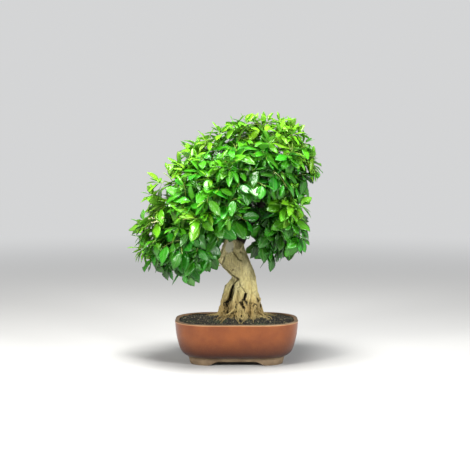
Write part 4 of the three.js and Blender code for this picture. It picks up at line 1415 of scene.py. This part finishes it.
def shoot_tree(tubes):
    """A shoot: a bent leaf at each leaf point, and a round stem along each chain of edges."""
    tree, given, put_out = geometry_tree("leafy_shoot", {
        "Grown Blade": ("Object", None), "Young Blade": ("Object", None), "Leaf Finish": ("Material", None),
        "Stem Finish": ("Material", None), "Teeth": ("Float", 1.0), "Thickness": ("Float", 0.011),
        "Stem Sides": ("Int", 6)})
    is_leaf = calc(tree, "GREATER_THAN", value_of(tree, "leaf"), 0.5)
    parts = put(tree, "GeometryNodeSeparateGeometry", {
        "Geometry": given.outputs["Geometry"], "Selection": is_leaf}, domain="POINT")
    seats = put(tree, "GeometryNodeMeshToPoints", {"Mesh": result(parts, "Selection")})
    is_small = calc(tree, "GREATER_THAN", value_of(tree, "small"), 0.5)
    both_kinds = put(tree, "GeometryNodeJoinGeometry")
    for label, chosen in (("Grown Blade", minus(tree, 1.0, is_small)), ("Young Blade", is_small)):
        flat = put(tree, "GeometryNodeObjectInfo", {"Object": given.outputs[label]})
        copies = put(tree, "GeometryNodeInstanceOnPoints", {
            "Points": result(seats), "Selection": chosen, "Instance": result(flat, "Geometry")})
        tree.links.new(result(copies), both_kinds.inputs[0])
    solid = put(tree, "GeometryNodeRealizeInstances", {"Geometry": result(both_kinds)})
    seat = value_of(tree, "seat", "FLOAT_VECTOR")
    own = vector(tree, "SUBTRACT", result(put(tree, "GeometryNodeInputPosition")), seat)
    split = put(tree, "ShaderNodeSeparateXYZ", {0: own})
    x, h = split.outputs[0], split.outputs[2]
    inner = calc(tree, "MAXIMUM", split.outputs[1], 0.0)
    behind = calc(tree, "MINIMUM", split.outputs[1], 0.0)
    s = plus(tree, calc(tree, "POWER", inner, value_of(tree, "shape")), behind)
    s2 = times(tree, s, s)
    teeth = times(tree, value_of(tree, "teeth"), given.outputs["Teeth"])
    wide = plus(tree, x, times(tree, value_of(tree, "tooth"), teeth))
    off = calc(tree, "ABSOLUTE", x)
    off2 = times(tree, off, off)
    wave = calc(tree, "SINE", plus(tree, times(tree, s, 11.0), value_of(tree, "phase")))
    swing = times(tree, times(tree, wave, calc(tree, "SIGN", x)), 0.55)
    ruffle = times(tree, times(tree, off2, plus(tree, wave, swing)), value_of(tree, "ruffle"))
    lift = plus(tree, times(tree, off, value_of(tree, "fold")), ruffle)
    lift = plus(tree, lift, times(tree, h, given.outputs["Thickness"]))
    lift = minus(tree, lift, times(tree, off2, value_of(tree, "cup")))
    s3 = times(tree, s2, s)
    spots = [seat, scaled(tree, value_of(tree, "rib", "FLOAT_VECTOR"), s),
             scaled(tree, value_of(tree, "droop", "FLOAT_VECTOR"), times(tree, s2, -1.0)),
             scaled(tree, value_of(tree, "side", "FLOAT_VECTOR"), wide),
             scaled(tree, value_of(tree, "sweep", "FLOAT_VECTOR"), s3),
             scaled(tree, value_of(tree, "face", "FLOAT_VECTOR"), lift)]
    place = spots[0]
    for more in spots[1:]:
        place = vector(tree, "ADD", place, more)
    bent = put(tree, "GeometryNodeSetPosition", {"Geometry": result(solid), "Position": place})
    leaves = put(tree, "GeometryNodeSetMaterial", {
        "Geometry": result(bent), "Material": given.outputs["Leaf Finish"]})
    stems = put(tree, "GeometryNodeGroup", {
        "Geometry": result(parts, "Inverted"), "Sides": given.outputs["Stem Sides"],
        "Finish": given.outputs["Stem Finish"]}, node_tree=tubes)
    both = put(tree, "GeometryNodeJoinGeometry")
    tree.links.new(result(stems), both.inputs[0])
    tree.links.new(result(leaves), both.inputs[0])
    tree.links.new(result(both), put_out.inputs[0])
    return tree


def read_spray(node):
    """A CAD shoot's leaves, as (seat, rib, droop, width, youth), and the rest of its corners, which are its
    stem's.
    """
    solid = merged_copy(node)
    tree = KDTree(len(solid.verts))
    for v in solid.verts:
        tree.insert(v.co, v.index)
    tree.balance()
    leaves, taken = [], set()
    for top in solid.verts:
        for _, index, distance in tree.find_range(top.co, LEAF_THICK * 1.02):
            under = solid.verts[index]
            if abs(distance - LEAF_THICK) > 0.01 * MM or {top.index, index} & taken:
                continue
            near = [{e.other_vert(v) for e in v.link_edges} for v in (top, under)]
            shared = near[0] & near[1]
            if len(shared) != 9:
                continue
            seat_corners = sorted((near[0] | near[1]) - shared, key=lambda v: v.index)
            shared = sorted(shared, key=lambda v: v.index)
            seat = sum((v.co for v in seat_corners), Vector()) / len(seat_corners)
            tip = max(shared, key=lambda v: (v.co - seat).length)
            edge = [v.co for v in shared if v is not tip]
            width = max((a - b).length for a in edge for b in edge
                        if abs((a - seat).length - (b - seat).length) < 4 * MM)
            middle = (top.co + under.co) / 2
            m, t = middle - seat, tip.co - seat
            rib = (m - RIB_AT**2 * t) / (RIB_AT - RIB_AT**2)
            face = (top.co - under.co).normalized()
            droop = rib - t
            if droop.dot(face) < 0 and droop.length > 2 * MM:
                face = -face
            ratio = width / rib.length / GROWN_RATIO
            youth = max(0.0, min(1.0, (1 - ratio) / (0.38 - 0.14 * ratio)))
            leaves.append({"seat": seat, "rib": rib, "droop": droop, "face": face, "width": width,
                           "youth": youth, "small": 0, "shape": rng.uniform(0.72, 1.05)})
            taken |= {top.index, index, *(v.index for v in shared)}
    rest = [v.co.copy() for v in solid.verts if v.index not in taken]
    solid.free()
    return leaves, rest


def stem_line(rest, wood):
    """The middles of a stem's rings of four corners, from the wood outwards."""
    middle = sum(rest, Vector()) / len(rest)
    cloud = np.array([p - middle for p in rest])
    main = Vector(np.linalg.svd(cloud)[2][0])
    order = sorted(rest, key=lambda p: (p - middle).dot(main))
    rings = [sum(order[i:i + 4], Vector()) / 4 for i in range(0, len(order), 4)]
    ends = [wood.find_nearest(p)[3] for p in (rings[0], rings[-1])]
    return rings if ends[0] <= ends[1] else rings[::-1]


def along_line(line, share):
    """A place and direction on a stem at a share of its length."""
    lengths = [0.0]
    for a, b in zip(line, line[1:]):
        lengths.append(lengths[-1] + (b - a).length)
    goal = share * lengths[-1]
    for k, (a, b) in enumerate(zip(line, line[1:])):
        if goal <= lengths[k + 1] or k == len(line) - 2:
            way = (b - a).normalized()
            t = (goal - lengths[k]) / max(lengths[k + 1] - lengths[k], 1e-9)
            return a.lerp(b, t) if t <= 1 else b + way * (goal - lengths[-1]), way
    return line[-1], UP


def new_leaf(seat, way, turn, opening, length, width, youth, outward, droop, small=0):
    """A leaf that leaves a stem at an angle and then hangs."""
    first = way.orthogonal().normalized()
    radial = first * math.cos(turn) + way.cross(first) * math.sin(turn)
    along = way * math.cos(opening) + radial * math.sin(opening)
    along = (along - UP * droop).normalized()
    face = UP * 0.7 + outward * 0.5
    face = (face - along * face.dot(along)).normalized()
    return {"seat": seat + radial * 1.0 * MM, "rib": along * length,
            "droop": face * length * (0.1 + 0.22 * droop), "face": face, "width": width, "youth": youth,
            "small": small, "shape": rng.uniform(0.78, 1.1)}


def hides_trunk(spot):
    """Whether a spot stands between the camera and the open part of the trunk."""
    place = spot - POT_MIDDLE
    share = (CAMERA_AWAY - 20 * MM) / (CAMERA_AWAY + place.y)
    x = CAMERA_ASIDE + (place.x - CAMERA_ASIDE) * share
    z = CAMERA_HEIGHT + (place.z - CAMERA_HEIGHT) * share
    return place.y < -20 * MM and any(left < x / MM < right and low < z / MM < high
                                      for left, right, low, high in OPEN_VIEWS)


def leaf_middle(leaf):
    return leaf["seat"] + leaf["rib"] * 0.5 - leaf["droop"] * 0.25


class Crown:
    """What a further leaf has to keep clear of, and stay close to."""

    def __init__(self, wood, names, middles):
        self.wood = wood
        self.middles = middles
        self.centre = sum(middles, Vector()) / len(middles)
        shell = bmesh.new()
        for name in names:
            shell.from_mesh(frame["nodes"][name].data)
        self.shell = BVHTree.FromBMesh(shell)
        shell.free()
        self.index()

    def index(self):
        self.taken = KDTree(len(self.middles))
        for k, spot in enumerate(self.middles):
            self.taken.insert(spot, k)
        self.taken.balance()

    def keep(self, leaves):
        self.middles += [leaf_middle(leaf) for leaf in leaves]
        self.index()

    def inside(self, place, reach=SHELL):
        return self.shell.find_nearest(place)[3] < reach

    def room(self, place):
        return self.taken.find(place)[2]

    def outward(self, place):
        return (place - self.centre).normalized()

    def score(self, leaf, reach=SHELL):
        """How clear a leaf lies of those around it, or None where it meets the wood or leaves the crown."""
        tip = leaf["seat"] + leaf["rib"] - leaf["droop"]
        if not self.inside(tip, reach):
            return None
        for share in (0.35, 0.65, 1.0):
            spot = leaf["seat"] + leaf["rib"] * share - leaf["droop"] * share * share
            if self.wood.find_nearest(spot)[3] < 3.5 * MM or hides_trunk(spot):
                return None
        return min(self.room(leaf_middle(leaf)), 30 * MM)


# Shoots

def shoot_mesh(name, leaves, stems):
    """The points and chains that the shoot tree reads."""
    corners = [leaf["seat"] for leaf in leaves]
    edges, radius, ages = [], [0.0] * len(leaves), [leaf["age"] for leaf in leaves]
    for line, thick, thin, age in stems:
        first = len(corners)
        corners += line
        edges += [(first + k, first + k + 1) for k in range(len(line) - 1)]
        radius += [thick + (thin - thick) * k / (len(line) - 1) for k in range(len(line))]
        ages += [age] * len(line)
    mesh = new_mesh(name, corners, [], edges)
    spare = len(corners) - len(leaves)
    give(mesh, "leaf", [1.0] * len(leaves) + [0.0] * spare)
    give(mesh, "radius", radius)
    give(mesh, "age", ages)
    for key in ("small", "shape", "tone", "fold", "ruffle", "cup", "phase", "teeth"):
        give(mesh, key, [leaf[key] for leaf in leaves] + [0.0] * spare)
    for key in ("seat", "rib", "droop", "side", "sweep", "face"):
        give(mesh, key, [tuple(leaf[key]) for leaf in leaves] + [(0, 0, 0)] * spare, kind="FLOAT_VECTOR")
    return mesh


def finish_leaf(leaf, share):
    """Settles what makes each leaf its own: age, bend, ruffle and tone."""
    youth = leaf["youth"]
    side = leaf["rib"].cross(leaf["face"]).normalized()
    roll = rng.gauss(0, 0.24)
    leaf["face"] = side.cross(leaf["rib"]).normalized() * math.cos(roll) + side * math.sin(roll)
    side = leaf["rib"].cross(leaf["face"]).normalized()
    age = 1 - youth * 0.6 - 0.32 * share + rng.uniform(-0.14, 0.14)
    spot = (leaf_middle(leaf) - POT_MIDDLE) / MM
    # Partly painted light and shade: leaves aged by place are brighter where the crown is lit and darker
    # where it is shaded
    for x, z, radius, shift in AGE_AND_SHADE_SHIFTS:
        age += shift * math.exp(-((spot.x - x) ** 2 + (spot.z - z) ** 2) / radius**2)
    leaf["age"] = max(0.0, min(1.0, age))
    leaf["tone"] = rng.random()
    leaf["fold"] = 0.1 + 0.16 * youth + rng.uniform(-0.03, 0.08)
    leaf["ruffle"] = rng.uniform(0.08, 0.3)
    leaf["cup"] = rng.uniform(-0.1, 0.35) * (1 - youth)
    leaf["phase"] = rng.uniform(0, 6.28)
    leaf["teeth"] = 1 - 0.8 * youth
    leaf["sweep"] = side * leaf["rib"].length * rng.uniform(-0.16, 0.16)
    leaf["side"] = side * leaf["width"]
    leaf["face"] = leaf["face"] * leaf["width"]
    return leaf


def leaf_pair(crown, place, way, youth, size, least):
    """Two leaves on opposite sides of a stem, turned to where there is most room."""
    outward = crown.outward(place)
    length = 47 * MM * size * (1 - 0.15 * youth) * rng.uniform(0.8, 1.15)
    width = length * (0.63 - 0.22 * youth) * rng.uniform(0.88, 1.12)
    opening = math.radians(72 - 20 * youth)
    droop = 0.85 - 0.7 * youth + rng.uniform(-0.15, 0.2)
    start = rng.uniform(0, math.pi)
    best, kept = -1, []
    for k in range(6):
        turn = start + k * math.pi / 6
        pair = [new_leaf(place, way, turn + half, opening, length, width, youth, outward, droop)
                for half in (0, math.pi)]
        scores = [crown.score(leaf) for leaf in pair]
        total = sum(v for v in scores if v is not None)
        if total > best:
            best = total
            kept = [leaf for leaf, v in zip(pair, scores) if v is not None and v > least]
    return kept


def tuft(crown, place, way, youth, count):
    """Small young leaves round a shoot's tip, the innermost the smallest."""
    outward = crown.outward(place)
    start = rng.uniform(0, 6.28)
    made = []
    for i in range(count):
        open_share = (i + 0.5) / count
        length = (13 + 21 * open_share) * MM * rng.uniform(0.85, 1.2)
        width = length * rng.uniform(0.27, 0.37) * (1 + 0.35 * (1 - youth))
        seat = place - way * (9 * MM * open_share)
        opening = math.radians(14 + 60 * open_share + rng.uniform(-8, 8))
        leaf = new_leaf(seat, way, start + i * GOLDEN, opening, length, width, min(1.0, youth + 0.3), outward,
                        0.05 + 0.45 * open_share * (1 - 0.6 * youth), 1)
        if crown.score(leaf) is not None:
            made.append(leaf)
    return made


def side_shoot(crown, place, way, youth):
    """A short shoot from a stem into the roomiest place beside it: its line, its pairs and its tuft."""
    best = None
    for k in range(12):
        turn = k * GOLDEN
        first = way.orthogonal().normalized()
        radial = first * math.cos(turn) + way.cross(first) * math.sin(turn)
        lean = way * 0.5 + radial * 0.9 + crown.outward(place) * 0.35 + UP * (0.4 * youth - 0.05)
        end = place + lean.normalized() * rng.uniform(24, 44) * MM
        if not crown.inside(end) or crown.wood.find_nearest(end)[3] < 6 * MM:
            continue
        room = crown.room(end)
        if best is None or room > best[0]:
            best = (room, end)
    if best is None or best[0] < 8 * MM:
        return None
    end = best[1]
    middle = place.lerp(end, 0.5) + UP * 0.1 * (end - place).length
    line = [place, middle, end]
    leaves = []
    for share, size in ((0.45, 0.9), (0.8, 0.8)):
        seat, along = along_line(line, share)
        leaves += leaf_pair(crown, seat, along, youth, size, 6 * MM)
    crown.keep(leaves)
    tip = tuft(crown, end, (end - middle).normalized(), youth, 5 + round(3 * youth))
    crown.keep(tip)
    return line, leaves, tip


def more_shoots(crown, line, youth):
    """Further leaves on one stem, between and behind the modelled ones, its tuft and its side shoots."""
    made, stems = [], []
    for share, size in ((0.27, 1.0), (0.76, 0.9), (-0.22, 1.0), (-0.5, 0.95)):
        place, way = along_line(line, max(share, 0))
        if share < 0:
            hit, _, _, distance = crown.wood.find_nearest(line[0] + way * share * 50 * MM)
            if distance > 7 * MM:
                continue
            place = hit
        pair = leaf_pair(crown, place, way, youth, size, 7 * MM)
        crown.keep(pair)
        made += [(leaf, max(share, 0)) for leaf in pair]
    tip, way = line[-1], (line[-1] - line[-2]).normalized()
    young = tuft(crown, tip, way, youth, 6 + round(5 * youth))
    crown.keep(young)
    made += [(leaf, 1) for leaf in young]
    for share in (-0.35, 0.12, 0.4, 0.66, 0.88):
        place, way = along_line(line, max(share, 0))
        if share < 0:
            place = line[0] + way * share * 50 * MM
            hit, _, _, distance = crown.wood.find_nearest(place)
            if distance > 7 * MM:
                continue
            place = hit
        found = side_shoot(crown, place, way, youth)
        if found:
            side, pairs, tip_leaves = found
            stems.append((side, 1.1 * MM, 0.6 * MM, 0.7 - 0.7 * youth))
            made += [(leaf, 0.6) for leaf in pairs] + [(leaf, 1) for leaf in tip_leaves]
    return made, stems


def full_tuft(crown, place, way, count, length, youth):
    """A full tuft at a shoot's tip: its inner leaves are short and upright, its outer ones long and open."""
    outward = crown.outward(place)
    start = rng.uniform(0, 6.28)
    made = []
    for i in range(count):
        open_share = (i + 0.5) / count
        reach = length * (0.5 + 0.5 * open_share) * rng.uniform(0.88, 1.1) * MM
        width = reach * (0.62 - 0.28 * youth) * rng.uniform(0.9, 1.1)
        opening = math.radians(22 + 56 * open_share + rng.uniform(-8, 8))
        seat = place - way * 10 * MM * open_share
        leaf = new_leaf(seat, way, start + i * GOLDEN, opening, reach, width, youth, outward,
                        0.1 + 0.5 * open_share * (1 - 0.6 * youth))
        if crown.score(leaf, 5 * SHELL) is not None:
            made.append(leaf)
    return made


def tuft_shoots(crown, sprays):
    """The full tufts and their stems, under the name of the modelled shoot that each one grows from."""
    grown_from = {name: ([], []) for name in sprays}
    for at, way, count, length, youth in TUFTS:
        place, way = Vector(at) * MM + POT_MIDDLE, Vector(way).normalized()
        near = [(spot - place).length for _, line in sprays.values() for spot in line]
        spots = [(name, spot) for name, (_, line) in sprays.items() for spot in line]
        name, spot = spots[near.index(min(near))]
        leaves = full_tuft(crown, place, way, count, length, youth)
        crown.keep(leaves)
        grown_from[name][0].extend((leaf, 0.9) for leaf in leaves)
        middle = spot.lerp(place, 0.5) + UP * 0.12 * (place - spot).length
        line = [spot, middle, place - way * 10 * MM, place]
        grown_from[name][1].append((line, 1.2 * MM, 0.6 * MM, 0.7 - 0.7 * youth))
    return grown_from


def make_shoots(materials, stem_material, wood):
    slots = {row["node"]: row["material_slot"] for row in frame["record"]["subparts"]}
    names = sorted(n for n in frame["nodes"] if n.startswith("spray_"))
    sprays = {}
    middles = []
    for name in names:
        leaves, rest = read_spray(name)
        sprays[name] = (leaves, stem_line(rest, wood))
        middles += [leaf_middle(leaf) for leaf in leaves]
    crown = Crown(wood, names, middles)
    tree, shapes = shoot_tree(tube_tree()), (grown_blade(), young_blade())
    tufts = tuft_shoots(crown, sprays)
    for name in names:
        leaves, line = sprays[name]
        youth = sum(leaf["youth"] for leaf in leaves) / max(1, len(leaves))
        extra, stems = more_shoots(crown, line, youth)
        extra += tufts[name][0]
        stems += tufts[name][1]
        for leaf in leaves:
            leaf["rib"] *= LEAF_SHARE
            leaf["droop"] *= LEAF_SHARE
        dressed = [finish_leaf(leaf, share_of(leaf["seat"], line)) for leaf in leaves]
        dressed += [finish_leaf(leaf, share) for leaf, share in extra]
        start = line[0] - (line[1] - line[0]).normalized() * 2 * MM
        stems.append(([start, *line], 1.5 * MM, 0.9 * MM, 1 - youth))
        mesh = grown(shoot_mesh(name + "_seats", dressed, stems), "leafy_" + name, tree, {
            "Grown Blade": shapes[0], "Young Blade": shapes[1], "Leaf Finish": materials[slots[name]],
            "Stem Finish": stem_material, "Teeth": 0.8, "Thickness": 0.011, "Stem Sides": 5})
        piece("leafy_" + name, mesh, (), slots[name], name)
    for shape in shapes:
        bpy.data.objects.remove(shape)


# Flower buds

def bud_tree(tubes):
    """Spikes of small round buds along chains of edges."""
    tree, given, put_out = geometry_tree("bud_spikes", {
        "Bud Size": ("Float", 1.5 * MM), "Spacing": ("Float", 2.2 * MM), "Seed": ("Int", 3),
        "Bud Finish": ("Material", None), "Stem Finish": ("Material", None)})
    lines = put(tree, "GeometryNodeMeshToCurve", {"Mesh": given.outputs["Geometry"]})
    spots = put(tree, "GeometryNodeCurveToPoints", {
        "Curve": result(lines), "Length": given.outputs["Spacing"]}, mode="LENGTH")
    stray = put(tree, "FunctionNodeRandomValue", {
        "Min": (-1.7 * MM,) * 3, "Max": (1.7 * MM,) * 3, "Seed": given.outputs["Seed"]},
        data_type="FLOAT_VECTOR")
    moved = put(tree, "GeometryNodeSetPosition", {
        "Geometry": result(spots, "Points"), "Offset": result(stray)})
    size = put(tree, "FunctionNodeRandomValue", {"Min": 0.6, "Max": 1.2, "Seed": 5}, data_type="FLOAT")
    bud = put(tree, "GeometryNodeMeshIcoSphere", {"Radius": given.outputs["Bud Size"], "Subdivisions": 2})
    copies = put(tree, "GeometryNodeInstanceOnPoints", {
        "Points": result(moved), "Instance": result(bud), "Scale": result(size)})
    solid = put(tree, "GeometryNodeRealizeInstances", {"Geometry": result(copies)})
    buds = put(tree, "GeometryNodeSetMaterial", {
        "Geometry": result(solid), "Material": given.outputs["Bud Finish"]})
    stems = put(tree, "GeometryNodeGroup", {
        "Geometry": given.outputs["Geometry"], "Finish": given.outputs["Stem Finish"]}, node_tree=tubes)
    both = put(tree, "GeometryNodeJoinGeometry")
    tree.links.new(result(stems), both.inputs[0])
    tree.links.new(result(buds), both.inputs[0])
    tree.links.new(result(both), put_out.inputs[0])
    return tree


def make_buds(materials, stem_material):
    """Two clusters of spikes: green ones, and cream ones that are about to open."""
    tree = bud_tree(tube_tree())
    for pale, name in ((False, "green_buds"), (True, "cream_buds")):
        chains = []
        for start, way, length, paleness in SPIKES:
            if (paleness > 0.5) != pale:
                continue
            place, way = Vector(start) * MM + POT_MIDDLE, Vector(way).normalized()
            chain = []
            for k in range(6):
                t = k / 5
                spot = place + way * length * t * MM - UP * 0.3 * length * t * t * MM
                chain.append((spot, (0.7 - 0.4 * t) * MM))
            chains.append(chain)
        mesh = grown(chains_mesh(name + "_lines", chains), name, tree, {
            "Bud Size": 1.4 * MM, "Spacing": 1.9 * MM, "Seed": 3, "Bud Finish": materials[pale],
            "Stem Finish": stem_material})
        mesh.shade_smooth()
        piece(name, mesh, (), "leaf_young")


def share_of(seat, line):
    """Where along its stem a leaf sits, from 0 to 1."""
    whole = (line[-1] - line[0]).length
    return max(0.0, min(1.0, (seat - line[0]).dot((line[-1] - line[0]).normalized()) / whole))


make_camera()
make_studio()
speckle = speckle_group()
tissue = leaf_group()
glaze = glaze_finish(speckle)
piece("glazed_pot", pot_mesh(), (glaze,), "glazed_clay", "pot")
make_screens(net_finish(speckle))
bark = bark_finish(speckle)
wood_surface = surface_of(make_wood(bark))
make_loose_roots(bark, wood_surface)
make_soil(soil_finish(speckle), bpy.data.objects["bonsai_wood"])
leaf_finishes = {
    "leaf_young": leaf_finish("young_leaf", tissue, {
        "Young": rgb(0x7ABA1A), "Grown": rgb(0x4AAC0E), "Old": rgb(0x287C0A)}),
    "leaf_grown": leaf_finish("grown_leaf", tissue, {
        "Young": rgb(0x6EB61A), "Grown": rgb(0x369A0C), "Old": rgb(0x1C6806)}),
    "leaf_old": leaf_finish("old_leaf", tissue, {
        "Young": rgb(0x5EA616), "Grown": rgb(0x2C880A), "Old": rgb(0x145204)}),
}
stem_green = stem_finish(speckle)
make_shoots(leaf_finishes, stem_green, wood_surface)
bud_finishes = (bud_finish("green_bud", speckle, 0xA9BE52), bud_finish("cream_bud", speckle, 0xEDE4B8))
make_buds(bud_finishes, stem_green)
